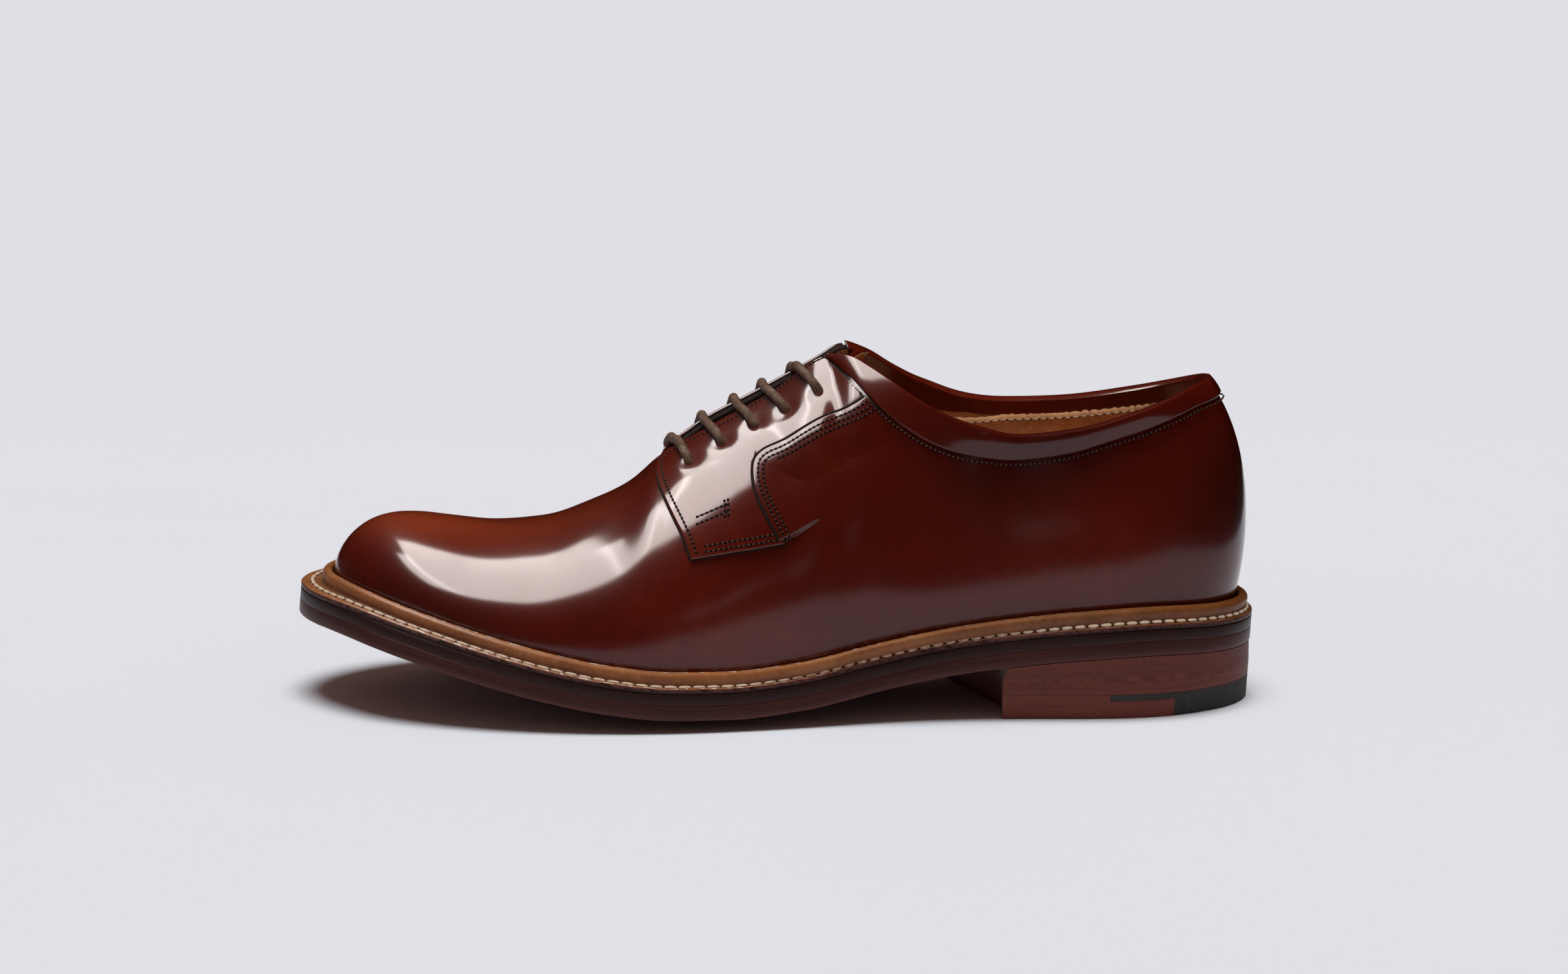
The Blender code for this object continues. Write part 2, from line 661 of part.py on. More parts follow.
def cutter(name, bm):
    bmesh.ops.recalc_face_normals(bm, faces=bm.faces)
    mesh = bpy.data.meshes.new(name)
    bm.to_mesh(mesh)
    bm.free()
    obj = bpy.data.objects.new(name, mesh)
    hold = bpy.data.collections.get("cutters")
    if hold is None:
        hold = bpy.data.collections.new("cutters")
        bpy.context.scene.collection.children.link(hold)
    hold.objects.link(obj)
    obj.hide_render = True
    obj.display_type = "WIRE"
    return obj


def cut(obj, tool, how="DIFFERENCE"):
    mod = obj.modifiers.new("cut", "BOOLEAN")
    mod.solver = "EXACT"
    mod.operation = how
    mod.object = tool


def step_tool(name, slack):
    """The rubber tip's room: full height behind TIP_FRONT, a thin strip up to STRIP_FRONT."""
    tip = (TIP_FRONT - 0.5) * SHOE_LENGTH + slack
    strip = (STRIP_FRONT - 0.5) * SHOE_LENGTH + slack
    back = -0.55 * SHOE_LENGTH
    step = TOP_PIECE_HEIGHT - TIP_STRIP - slack
    profile = ((back, -0.01), (tip, -0.01), (tip, step), (strip, step),
               (strip, TOP_PIECE_HEIGHT + 0.01), (back, TOP_PIECE_HEIGHT + 0.01))
    bm = bmesh.new()
    ends = []
    for y in (-0.6 * BALL_WIDTH, 0.6 * BALL_WIDTH):
        ends.append([bm.verts.new((x, y, z)) for x, z in profile])
        bm.faces.new(ends[-1])
    for i in range(len(profile)):
        j = (i + 1) % len(profile)
        bm.faces.new((ends[0][i], ends[0][j], ends[1][j], ends[1][i]))
    return cutter(name, bm)


def heel(mats):
    low_lift = TOP_PIECE_HEIGHT + GAP
    split = low_lift + LIFT_HEIGHT
    heel_layer("heel_lift_upper", mats["heel_leather"], None, split + GAP)
    heel_layer("heel_lift_lower", mats["heel_leather"], split, low_lift)
    leather = heel_layer("heel_top_piece", mats["heel_leather"], TOP_PIECE_HEIGHT, 0)
    rubber = heel_layer("heel_quarter_tip", mats["tip_rubber"], TOP_PIECE_HEIGHT, 0)
    cut(leather, step_tool("tip_room", GAP))
    cut(rubber, step_tool("tip_form", 0), "INTERSECT")


def mirrored(side, station):
    """The medial station that matches a lateral one: its facing's corner lies further back."""
    shift = CORNER_STATION[side] - CORNER_STATION[1]
    return station + shift * np.interp(station, (0.0, CORNER_STATION[1], 0.60), (0, 1, 0))


def eyelet_tool(side):
    bm = bmesh.new()
    rows = np.array(EYELETS)
    at = rows[:, 0] + (MEDIAL_LEAD if side < 0 else 0)
    centres = surface(side, at, rows[:, 1])
    axes = normals(side, at, rows[:, 1])
    for centre, axis in zip(centres, axes):
        turn = Vector(axis).to_track_quat("Z", "Y").to_matrix().to_4x4()
        bmesh.ops.create_cone(bm, cap_ends=True, segments=12, radius1=EYELET_RADIUS,
                              radius2=EYELET_RADIUS, depth=0.012,
                              matrix=Matrix.Translation(Vector(centre)) @ turn)
    return cutter("eyelets_lateral" if side > 0 else "eyelets_medial", bm)


def laces(mats):
    clear = OVERLAY_GAP + FACING_THICKNESS + GAP + LACE_RADIUS
    for i, (at, seat) in enumerate(EYELETS):
        level = np.linspace(seat, 1, 4)
        left = lifted(1, at, level, clear)
        right = lifted(-1, at + MEDIAL_LEAD, level, clear)[::-1]
        middle = (left[-1:] + right[:1]) / 2
        middle[:, 2] += 0.0006
        path = np.concatenate([left, middle, right])
        run = np.concatenate([[0], np.cumsum(np.linalg.norm(np.diff(path, axis=0), axis=1))])
        path = through(run, path, np.linspace(0, run[-1], 13))
        curve = bpy.data.curves.new("lace_bar_%d" % (i + 1), "CURVE")
        curve.dimensions = "3D"
        curve.bevel_depth = LACE_RADIUS
        curve.bevel_resolution = 2
        curve.use_fill_caps = True
        line = curve.splines.new("POLY")
        line.points.add(len(path) - 1)
        for point, co in zip(line.points, path):
            point.co = (*co, 1)
        curve.materials.append(mats["lace_cord"])
        obj = bpy.data.objects.new(curve.name, curve)
        bpy.context.scene.collection.objects.link(obj)


def main():
    clean_scene()
    mats = {name: material(name) for name in COLORS}
    under_welt = WELT_THICKNESS + 1.5 * GAP
    under_midsole = under_welt + MIDSOLE_THICKNESS
    sheet("outsole", mats["sole_edge"], lambda at: margin(at) - 0.0002,
          under_midsole + GAP, SOLE_DEPTH, floor=True)
    sheet("midsole", mats["midsole_edge"], lambda at: margin(at) - 0.0005,
          under_welt, under_midsole)
    sheet("insole", mats["lining_leather"], lambda at: 0 * at - WALL - 3 * GAP,
          -INSOLE_RISE, WELT_THICKNESS - GAP)
    welt(mats)
    heel(mats)
    shell = upper(mats)
    collar_band(mats)
    tongue(mats)
    for side in (1, -1):
        tab = facing(side, mats)
        tool = eyelet_tool(side)
        cut(shell, tool)
        cut(tab, tool)
    laces(mats)


main()
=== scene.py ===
# The dressed derby shoe, left foot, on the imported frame. Metres, +X to the toe, +Y outside, +Z up.
import math

import bmesh
import bpy
import numpy as np
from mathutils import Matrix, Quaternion, Vector


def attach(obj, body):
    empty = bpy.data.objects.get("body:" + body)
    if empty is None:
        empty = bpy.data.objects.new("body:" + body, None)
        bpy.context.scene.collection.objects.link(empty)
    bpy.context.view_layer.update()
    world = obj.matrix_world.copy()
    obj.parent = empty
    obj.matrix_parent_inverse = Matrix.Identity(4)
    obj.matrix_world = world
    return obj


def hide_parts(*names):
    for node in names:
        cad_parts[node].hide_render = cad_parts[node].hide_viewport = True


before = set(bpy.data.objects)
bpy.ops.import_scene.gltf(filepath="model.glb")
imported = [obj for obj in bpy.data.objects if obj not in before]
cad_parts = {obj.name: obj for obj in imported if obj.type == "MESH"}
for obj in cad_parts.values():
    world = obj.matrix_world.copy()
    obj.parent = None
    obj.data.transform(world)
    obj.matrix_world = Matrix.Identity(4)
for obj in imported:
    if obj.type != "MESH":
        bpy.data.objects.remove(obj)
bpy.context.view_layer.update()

# Named sizes in metres, the same as the part's
SHOE_LENGTH = 0.3048
BALL_WIDTH = 0.1054
TOP_HEIGHT = 0.1125
WELT_THICKNESS = 0.0022
MIDSOLE_THICKNESS = 0.0030
OUTSOLE_THICKNESS = 0.0045
INSOLE_RISE = 0.0030
WALL = 0.0020
TONGUE_THICKNESS = 0.0022
LIP_HEIGHT = 0.0047
LIP_WIDTH = 0.0032
TOP_PIECE_HEIGHT = 0.0077
LIFT_HEIGHT = 0.0040
TIP_STRIP = 0.0020
LACE_RADIUS = 0.00145
GAP = 0.0003
SOLE_DEPTH = WELT_THICKNESS + MIDSOLE_THICKNESS + OUTSOLE_THICKNESS + 2.5 * GAP

# Sizes of the dressing
TAB_HEIGHT = 0.0016
SEAM_HEIGHT = 0.0021
SEAM_REACH = 0.016
SEAM_LAP = 0.0013
BAND_HEIGHT = 0.0013
STITCH_PITCH = 0.00150
STITCH_TILT = 0.30
LINING_PITCH = 0.0026
WELT_PITCH = {"fore": 0.0044, "heel": 0.0040}
# width, height, share of the pitch that the thread fills
UPPER_STITCH = (0.00055, 0.00026, 0.66)
LINING_STITCH = (0.0006, 0.0003, 0.66)
EDGE_ROUND = 0.0007
BAND_ROUND = 0.0006
ROLL_RISE = 0.0009
SEAM_SINK = 0.0002
UNDER = 0.0004
DIMPLE_DEPTH = 0.00055
DIMPLE_REACH = 0.0030
TIP_LENGTH = 0.011
HEEL_DEPTH = 0.020
COLLAR_PAD = 0.0021
MOUTH_RADIUS = 0.0019
MOUTH_DEPTH = 0.0010
FINE_MERGE = 0.000002
TINY_MERGE = 0.0000005

# Where the upper meets the welt: shares of SHOE_LENGTH and BALL_WIDTH, lateral side first.
FEATHER = (
    # along, across
    (0.0226, 0.0000), (0.0440, 0.1613), (0.1030, 0.2704), (0.1949, 0.3036),
    (0.2933, 0.3083), (0.4081, 0.3416), (0.5230, 0.4080), (0.6214, 0.4412),
    (0.7198, 0.4317), (0.8150, 0.3700), (0.8953, 0.2514), (0.9429, 0.1044),
    (0.9610, -0.0380), (0.9462, -0.1898), (0.8970, -0.3178), (0.8150, -0.4080),
    (0.7198, -0.4412), (0.6378, -0.4222), (0.5230, -0.3226), (0.4081, -0.2467),
    (0.2933, -0.2514), (0.1949, -0.2799), (0.1030, -0.2609), (0.0440, -0.1565),
)
TOE_ROW = 12

SOLE_RISE = (
    # along, height, dip
    (0.0000, 0.2578, 0.0000), (0.0522, 0.2667, 0.0000), (0.1145, 0.2738, 0.0000),
    (0.1923, 0.2631, 0.0000), (0.2687, 0.2427, 0.0000), (0.3333, 0.2187, 0.0053),
    (0.4045, 0.1813, 0.0142), (0.4754, 0.1422, 0.0276), (0.5456, 0.1271, 0.0400),
    (0.6030, 0.1289, 0.0427), (0.6640, 0.1467, 0.0382), (0.7254, 0.1787, 0.0311),
    (0.7894, 0.2204, 0.0231), (0.8615, 0.2702, 0.0142), (0.9344, 0.3129, 0.0044),
    (1.0000, 0.3316, 0.0000),
)
SOLE_MARGIN = (
    # station, margin
    (0.00, 0.0600), (0.10, 0.0510), (0.20, 0.0493), (0.30, 0.0455), (0.40, 0.0436),
    (0.50, 0.0474), (0.60, 0.0550), (0.70, 0.0598), (0.80, 0.0645), (0.90, 0.0759),
    (1.00, 0.0985),
)

# The upper's ribs, from the feather line to the top line
LATERAL_RIBS = (
    # station, along, across, height, lean, foot reach, rise, top reach
    (0.000, 0.0538, 0.0000, 0.9084, 14, 0.40, 52, 0.30),
    (0.036, 0.0594, 0.0806, 0.9067, 13, 0.40, 58, 0.31),
    (0.071, 0.0751, 0.1537, 0.9004, 12, 0.40, 70, 0.33),
    (0.100, 0.0981, 0.2068, 0.8764, 10, 0.40, 76, 0.33),
    (0.149, 0.1391, 0.2514, 0.8382, 9, 0.40, 81, 0.33),
    (0.218, 0.1995, 0.2751, 0.7964, 8, 0.40, 84, 0.33),
    (0.270, 0.2539, 0.2799, 0.7822, 7, 0.40, 84, 0.33),
    (0.313, 0.2966, 0.2846, 0.8071, 5, 0.40, 83, 0.33),
    (0.347, 0.3327, 0.2818, 0.8436, 4, 0.41, 80, 0.33),
    (0.371, 0.3655, 0.2638, 0.8951, 3, 0.42, 73, 0.33),
    (0.396, 0.3967, 0.2249, 0.9511, 3, 0.44, 60, 0.34),
    (0.418, 0.4245, 0.1660, 0.9849, 3, 0.46, 46, 0.35),
    (0.443, 0.4491, 0.0996, 0.9778, 3, 0.48, 34, 0.36),
    (0.490, 0.5010, 0.0882, 0.8738, 3, 0.48, 24, 0.36),
    (0.528, 0.5361, 0.0835, 0.8169, 3, 0.47, 20, 0.37),
    (0.566, 0.5722, 0.0787, 0.7618, 3, 0.46, 16, 0.38),
    (0.594, 0.5968, 0.0693, 0.7218, 4, 0.45, 12, 0.39),
    (0.612, 0.6099, 0.0332, 0.6987, 4, 0.45, 6, 0.40),
)
MEDIAL_RIBS = (
    # station, along, across, height, lean, foot reach, rise, top reach
    (0.000, 0.0538, 0.0000, 0.9084, 14, 0.40, 52, 0.30),
    (0.036, 0.0587, -0.0787, 0.8978, 13, 0.40, 58, 0.31),
    (0.069, 0.0735, -0.1518, 0.8791, 12, 0.40, 70, 0.33),
    (0.099, 0.0948, -0.2040, 0.8587, 12, 0.40, 76, 0.33),
    (0.147, 0.1325, -0.2467, 0.8338, 11, 0.40, 81, 0.33),
    (0.215, 0.1998, -0.2732, 0.8080, 11, 0.40, 84, 0.33),
    (0.268, 0.2556, -0.2770, 0.8027, 12, 0.40, 84, 0.33),
    (0.311, 0.3031, -0.2732, 0.8196, 13, 0.40, 82, 0.33),
    (0.345, 0.3425, -0.2638, 0.8569, 14, 0.41, 78, 0.33),
    (0.375, 0.3737, -0.2353, 0.9031, 15, 0.42, 70, 0.34),
    (0.400, 0.4016, -0.1755, 0.9564, 15, 0.43, 56, 0.35),
    (0.425, 0.4295, -0.1091, 0.9867, 14, 0.45, 42, 0.36),
    (0.450, 0.4508, -0.0977, 0.9547, 13, 0.46, 32, 0.36),
    (0.490, 0.4934, -0.0949, 0.8862, 11, 0.47, 24, 0.36),
    (0.528, 0.5328, -0.0930, 0.8267, 9, 0.47, 20, 0.37),
    (0.566, 0.5709, -0.0854, 0.7716, 7, 0.46, 16, 0.38),
    (0.594, 0.5968, -0.0693, 0.7218, 6, 0.45, 12, 0.39),
    (0.612, 0.6099, -0.0332, 0.6987, 5, 0.45, 6, 0.40),
)
VAMP_RIBS = (
    # station, along, across, height, lean, foot reach, rise, top reach
    (0.625, 0.6198, 0.0000, 0.6809, 4, 0.45, 0, 0.41),
    (0.655, 0.6509, 0.0000, 0.6071, 5, 0.44, 0, 0.42),
    (0.695, 0.6903, -0.0066, 0.5529, 6, 0.43, 0, 0.42),
    (0.745, 0.7428, -0.0142, 0.5022, 7, 0.42, 0, 0.42),
    (0.790, 0.7953, -0.0190, 0.4898, 7, 0.42, 0, 0.42),
    (0.829, 0.8412, -0.0237, 0.5022, 7, 0.42, 0, 0.42),
    (0.860, 0.8707, -0.0285, 0.5129, 6, 0.42, 0, 0.42),
    (0.891, 0.8871, -0.0285, 0.5156, 5, 0.38, 0, 0.41),
    (0.920, 0.8894, -0.0285, 0.5156, 5, 0.36, 0, 0.40),
)
RIBS = {1: LATERAL_RIBS + VAMP_RIBS, -1: MEDIAL_RIBS + VAMP_RIBS}
CORNER_STATION = {1: 0.443, -1: 0.425}

BREAST = (
    # across, along
    (0.3416, 0.2687), (0.1708, 0.2671), (0.0759, 0.2789), (-0.0095, 0.2900),
    (-0.1015, 0.3025), (-0.1803, 0.3143), (-0.2846, 0.3245),
)
TIP_FRONT = 0.0915
STRIP_FRONT = 0.1588

# The facing tab, front edge first; the corner row is its lower back corner
FACING = (
    # top, low, level, bow, skew
    (0.614, 0.580, 0.405, 0.017, 1.6),
    (0.592, 0.560, 0.400, 0.010, 1.4),
    (0.570, 0.538, 0.395, 0.008, 1.2),
    (0.548, 0.514, 0.385, 0.010, 1.0),
    (0.530, 0.490, 0.375, 0.012, 0.8),
    (0.527, 0.499, 0.445, 0.009, 0.8),
    (0.524, 0.509, 0.530, 0.006, 0.8),
    (0.521, 0.516, 0.620, 0.002, 0.8),
    (0.512, 0.515, 0.695, 0.000, 1.0),
    (0.499, 0.503, 0.725, 0.000, 1.0),
    (0.485, 0.485, 0.722, 0.000, 1.0),
    (0.470, 0.462, 0.724, 0.000, 1.0),
    (0.457, 0.438, 0.745, 0.000, 1.0),
    (0.448, 0.416, 0.805, 0.000, 1.0),
    (0.445, 0.406, 0.860, 0.000, 1.0),
)
CORNER_ROW = 4 / 14
BAND = (
    # station, level
    (0.000, 0.905), (0.076, 0.915), (0.150, 0.905), (0.186, 0.902), (0.218, 0.887),
    (0.276, 0.875), (0.306, 0.862), (0.336, 0.852), (0.360, 0.850), (0.386, 0.856),
    (0.405, 0.880), (0.425, 0.944), (0.445, 0.998),
)
EYELETS = (
    # station, level
    (0.580, 0.825), (0.546, 0.850), (0.512, 0.868), (0.480, 0.865), (0.452, 0.855),
)
LACE_SLANT = 0.012
MEDIAL_LEAD = 0.0050

# Soft troughs and ridges: side 0 is both, sizes in metres
RELIEF = (
    # side, station, level, run, rise, turn, height
    (1, 0.385, 0.13, 0.036, 0.022, 0, 0.0024),
    (1, 0.262, 0.78, 0.022, 0.008, 20, -0.00015),
    (-1, 0.300, 0.97, 0.006, 0.010, 0, -0.0007),
    (-1, 0.335, 0.97, 0.005, 0.012, 0, 0.0006),
    (-1, 0.265, 0.97, 0.008, 0.010, 0, 0.0005),
    (1, 0.300, 0.97, 0.008, 0.010, 0, 0.0004),
    (1, 0.345, 0.97, 0.006, 0.010, 0, -0.0004),
    (1, 0.375, 0.97, 0.006, 0.010, 0, 0.0004),
    (0, 0.585, 0.78, 0.011, 0.0065, 25, 0.0006),
    (0, 0.550, 0.79, 0.011, 0.0065, 28, 0.0006),
    (0, 0.515, 0.81, 0.011, 0.0065, 30, 0.0006),
    (0, 0.485, 0.83, 0.010, 0.0065, 30, 0.0005),
    (0, 0.560, 0.62, 0.007, 0.012, 20, -0.00018),
    (0, 0.535, 0.72, 0.006, 0.010, 10, 0.00018),
    (0, 0.505, 0.80, 0.006, 0.008, -20, -0.00016),
)

# Lighter and darker patches on the leather: painted light and shade, and some burnished finish
LIGHT_AND_SHADE_PATCHES = (
    # side, station, level, radius, weight
    (0, 0.880, 0.86, 0.016, 0.42), (0, 0.830, 0.90, 0.018, 0.24), (0, 0.770, 0.95, 0.018, 0.20),
    (0, 0.715, 0.95, 0.016, 0.16), (0, 0.665, 0.95, 0.016, 0.10), (0, 0.890, 0.30, 0.016, -0.28),
    (1, 0.960, 0.55, 0.014, -0.34), (0, 0.800, 0.20, 0.014, -0.10),
    (1, 0.205, 0.56, 0.016, 0.15), (1, 0.270, 0.77, 0.015, -0.20), (1, 0.220, 0.86, 0.012, -0.22),
    (0, 0.020, 0.45, 0.020, -0.22), (0, 0.560, 0.18, 0.014, 0.06), (-1, 0.210, 0.50, 0.024, 0.14),
)

# Shades and colours of the materials, dark to light
BASE_TONE = 0.36
LEATHER = ((0.0, (0.036, 0.0034, 0.0013)), (0.38, (0.094, 0.0062, 0.0019)),
           (1.0, (0.270, 0.0380, 0.0100)))
LINING = ((0.36, (0.560, 0.250, 0.100)), (0.52, (0.740, 0.370, 0.160)),
          (0.66, (0.900, 0.500, 0.250)))
WELT_TAN = ((0.34, (0.200, 0.056, 0.012)), (0.50, (0.300, 0.096, 0.021)),
            (0.66, (0.390, 0.145, 0.039)))
CORD = ((0.32, (0.075, 0.040, 0.024)), (0.50, (0.165, 0.088, 0.056)),
        (0.70, (0.290, 0.185, 0.135)))


# Lines and surfaces

def unit(vectors):
    return vectors / np.linalg.norm(vectors, axis=-1, keepdims=True)


def along_line(at, run, line):
    """Points of a line at some values of what runs along it."""
    return np.stack([np.interp(at, run, column) for column in line.T], -1)


def arc_length(points, axis=0):
    step = np.linalg.norm(np.diff(points, axis=axis), axis=-1)
    start = np.zeros_like(np.take(step, [0], axis=axis))
    return np.concatenate([start, np.cumsum(step, axis=axis)], axis=axis)


def turns(count):
    return np.linspace(0, 2 * np.pi, count, endpoint=False)[:, None]


def ease(t):
    t = np.clip(t, 0, 1)
    return t * t * (3 - 2 * t)


def fillet(gap, radius):
    """Drop of a rounded edge at a distance in from it."""
    return radius * (1 - np.sqrt(1 - np.clip(1 - gap / radius, 0, 1)**2))


def slopes(x, y):
    step = np.diff(x)
    secant = np.diff(y, axis=0) / step[:, None]
    m = np.zeros_like(y)
    left, right = secant[:-1], secant[1:]
    w1 = (2 * step[1:] + step[:-1])[:, None]
    w2 = (step[1:] + 2 * step[:-1])[:, None]
    same = left * right > 0
    with np.errstate(divide="ignore", invalid="ignore"):
        mean = (w1 + w2) / (w1 / left + w2 / right)
    m[1:-1] = np.where(same, mean, 0.0)
    m[0], m[-1] = secant[0], secant[-1]
    return m


def through(x, y, at):
    """Read the smooth curve through the rows (x, y) at each value."""
    x, y, at = np.asarray(x, float), np.asarray(y, float), np.asarray(at, float)
    m = slopes(x, y)
    i = np.clip(np.searchsorted(x, at) - 1, 0, len(x) - 2)
    h = x[i + 1] - x[i]
    t = np.clip((at - x[i]) / h, 0, 1)[..., None]
    h = h[..., None]
    a, b = y[i], y[i + 1]
    da, db = m[i] * h, m[i + 1] * h
    return (a * (2 * t**3 - 3 * t**2 + 1) + da * (t**3 - 2 * t**2 + t)
            + b * (3 * t**2 - 2 * t**3) + db * (t**3 - t**2))


def table(rows, at):
    rows = np.array(rows, float)
    total = 0
    for shift, weight in ((-0.008, 1), (-0.004, 2), (0, 3), (0.004, 2), (0.008, 1)):
        total = total + weight * through(rows[:, 0], rows[:, 1:], np.asarray(at) + shift)
    return total / 9


def closed_line(rows, count):
    pts = np.array(rows, float) * (SHOE_LENGTH, BALL_WIDTH) - (SHOE_LENGTH / 2, 0)
    n = len(pts)
    chord = np.linalg.norm(np.roll(pts, -1, 0) - pts, axis=1)
    matrix = np.zeros((n, n))
    right = np.zeros((n, 2))
    for i in range(n):
        before, after = chord[i - 1], chord[i]
        matrix[i, i - 1] = before
        matrix[i, i] = 2 * (before + after)
        matrix[i, (i + 1) % n] = after
        right[i] = 6 * ((pts[(i + 1) % n] - pts[i]) / after - (pts[i] - pts[i - 1]) / before)
    bend = np.linalg.solve(matrix, right)
    out = []
    for i in range(n):
        j, h = (i + 1) % n, chord[i]
        t = np.linspace(0, 1, count, endpoint=False)[:, None]
        a, b = 1 - t, t
        out.append(a * pts[i] + b * pts[j]
                   + ((a**3 - a) * bend[i] + (b**3 - b) * bend[j]) * h * h / 6)
    return np.concatenate(out)


SPAN = 120
LINE = closed_line(FEATHER, SPAN)
SIDES = {
    1: LINE[:TOE_ROW * SPAN + 1],
    -1: np.concatenate([LINE[:1], LINE[TOE_ROW * SPAN:][::-1]]),
}


def feather(side, station):
    line = SIDES[side]
    arc = arc_length(line)
    arc /= arc[-1]
    at = np.asarray(station, float)
    tangent = np.gradient(line, axis=0)
    tangent[0], tangent[-1] = (0, side), (0, -side)
    tan = unit(along_line(at, arc, tangent))
    return along_line(at, arc, line), np.stack([-tan[..., 1], tan[..., 0]], -1) * side


MIDDLE_GRID = np.linspace(0.03, 0.97, 200)
MIDDLE = {side: feather(side, MIDDLE_GRID)[0] for side in (1, -1)}


def sole_height(x, y):
    rise = table(SOLE_RISE, x / SHOE_LENGTH + 0.5) * TOP_HEIGHT
    y1 = np.interp(x, MIDDLE[1][:, 0], MIDDLE[1][:, 1])
    y2 = np.interp(x, MIDDLE[-1][:, 0], MIDDLE[-1][:, 1])
    half = np.maximum((y1 - y2) / 2 + 0.055 * BALL_WIDTH, 0.2 * BALL_WIDTH)
    share = np.clip((y - (y1 + y2) / 2) / half, -1.15, 1.15)
    return rise[..., 0] - rise[..., 1] * (1 - share**2)


def sole_point(plan, depth):
    """Points below (depth positive) or above the welt's flat top, square to it."""
    x, y = plan[..., 0], plan[..., 1]
    step = 0.002
    slope = (sole_height(x + step, y) - sole_height(x - step, y)) / (2 * step)
    length = np.sqrt(1 + slope**2)
    return np.stack([x + depth * slope / length, y, sole_height(x, y) - depth / length], -1)


def margin(station):
    return table(SOLE_MARGIN, station)[..., 0] * BALL_WIDTH


def ridge_slope(station, x):
    rows = np.array([LATERAL_RIBS[-1][:4]] + [row[:4] for row in VAMP_RIBS])
    rows = rows[(rows[:, 0] > 0.62) & (rows[:, 0] < 0.9)]
    line_x = (rows[:, 1] - 0.5) * SHOE_LENGTH
    line_z = rows[:, 3:4] * TOP_HEIGHT
    step = 0.002
    ahead, behind = through(line_x, line_z, x + step), through(line_x, line_z, x - step)
    weight = np.clip((station - 0.57) / 0.05, 0, 1)
    return weight * (ahead - behind)[..., 0] / (2 * step)


def surface(side, station, level):
    """Outer surface of the upper: side 1 lateral or -1 medial, station along, level 0 to 1 up."""
    station, level = np.broadcast_arrays(np.asarray(station, float), np.asarray(level, float))
    rows = table(RIBS[side], station)
    plan, normal = feather(side, station)
    foot = sole_point(plan, -GAP)
    top = np.stack([(rows[..., 0] - 0.5) * SHOE_LENGTH, rows[..., 1] * BALL_WIDTH,
                    rows[..., 2] * TOP_HEIGHT], -1)
    inward = unit(top[..., :2] - foot[..., :2] - 0.3 * BALL_WIDTH * normal)
    chord = np.linalg.norm(top - foot, axis=-1)[..., None]
    lean = np.radians(rows[..., 3:4])
    rise = np.radians(rows[..., 5:6])
    out = np.concatenate([-inward * np.sin(lean), np.cos(lean)], -1)
    over = np.concatenate([inward * np.cos(rise), np.sin(rise)], -1)
    over[..., 2] += ridge_slope(station, top[..., 0]) * inward[..., 0]
    p1 = foot + out * chord * rows[..., 4:5]
    p2 = top - unit(over) * chord * rows[..., 6:7]
    t = level[..., None]
    return (1 - t)**3 * foot + 3 * (1 - t)**2 * t * p1 + 3 * (1 - t) * t**2 * p2 + t**3 * top


def directions(side, station, level):
    """Steps of the surface per unit of station and of level, and its outward normal."""
    step = 0.004
    ahead, behind = [surface(side, station + by, level) for by in (step, -step)]
    over, under = [surface(side, station, level + by) for by in (step, -step)]
    around, up = (ahead - behind) / step / 2, (over - under) / step / 2
    return around, up, unit(np.cross(around, up) * -side)


def relief(side, points):
    """Height of the listed troughs and ridges at points of one side."""
    total = np.zeros(points.shape[:-1])
    for which, station, level, run, rise, turn, height in RELIEF:
        if which not in (0, side):
            continue
        centre = surface(side, station, level)
        angle = math.radians(turn)
        d = points - centre
        along = d[..., 0] * math.cos(angle) + d[..., 2] * math.sin(angle)
        across = -d[..., 0] * math.sin(angle) + d[..., 2] * math.cos(angle)
        near = np.exp(-(d[..., 1] / 0.02)**2)
        total += height * near * np.exp(-(along / run)**2 - (across / rise)**2)
    return total


def skin(side, station, level, height=0.0):
    """Points a height above the dressed surface."""
    station, level = np.broadcast_arrays(np.asarray(station, float), np.asarray(level, float))
    base = surface(side, station, level)
    normal = directions(side, station, level)[2]
    return base + normal * (relief(side, base) + height)[..., None]


def beside(side, station, level, reach):
    """A line on the surface moved sideways by reach, down from one that runs to the heel."""
    base = surface(side, station, level)
    around, up, normal = directions(side, station, level)
    across = np.cross(unit(np.gradient(base, axis=0)), normal) * side
    g11, g12, g22 = (around * around).sum(-1), (around * up).sum(-1), (up * up).sum(-1)
    r1, r2 = (across * around).sum(-1), (across * up).sum(-1)
    det = g11 * g22 - g12**2
    a = (r1 * g22 - r2 * g12) / det
    b = (g11 * r2 - g12 * r1) / det
    return station + a * reach, np.clip(level + b * reach, 0, 1)


def mirrored(side, station):
    shift = CORNER_STATION[side] - CORNER_STATION[1]
    return station + shift * np.interp(station, (0.0, CORNER_STATION[1], 0.60), (0, 1, 0))


def light_shade_and_finish(points):
    """How light the leather is painted from the patches: a lit toe top, shaded toe sides, heel back
    and quarter top, a painted sheen on the quarter, and some burnished finish.
    """
    total = np.zeros(points.shape[:-1])
    for which, station, level, radius, weight in LIGHT_AND_SHADE_PATCHES:
        for side in ((1, -1) if which == 0 and level < 0.9 else (which or 1,)):
            centre = surface(side, station, level)
            total += weight * np.exp(-((points - centre)**2).sum(-1) / (2 * radius**2))
    return total


# Meshes

def spaced(count, ends=0.9):
    """Values from 0 to 1 that lie closer together at both ends."""
    t = np.linspace(0, 1, count)
    return t - ends * np.sin(2 * np.pi * t) / (2 * np.pi)


def grid_faces(rows, cols, close_rows=False, close_cols=False, flip=False):
    i = np.arange(rows if close_rows else rows - 1)
    j = np.arange(cols if close_cols else cols - 1)
    i, j = [k.ravel() for k in np.meshgrid(i, j, indexing="ij")]
    i2, j2 = (i + 1) % rows, (j + 1) % cols
    faces = np.stack([i * cols + j, i * cols + j2, i2 * cols + j2, i2 * cols + j], 1)
    return faces[:, ::-1] if flip else faces


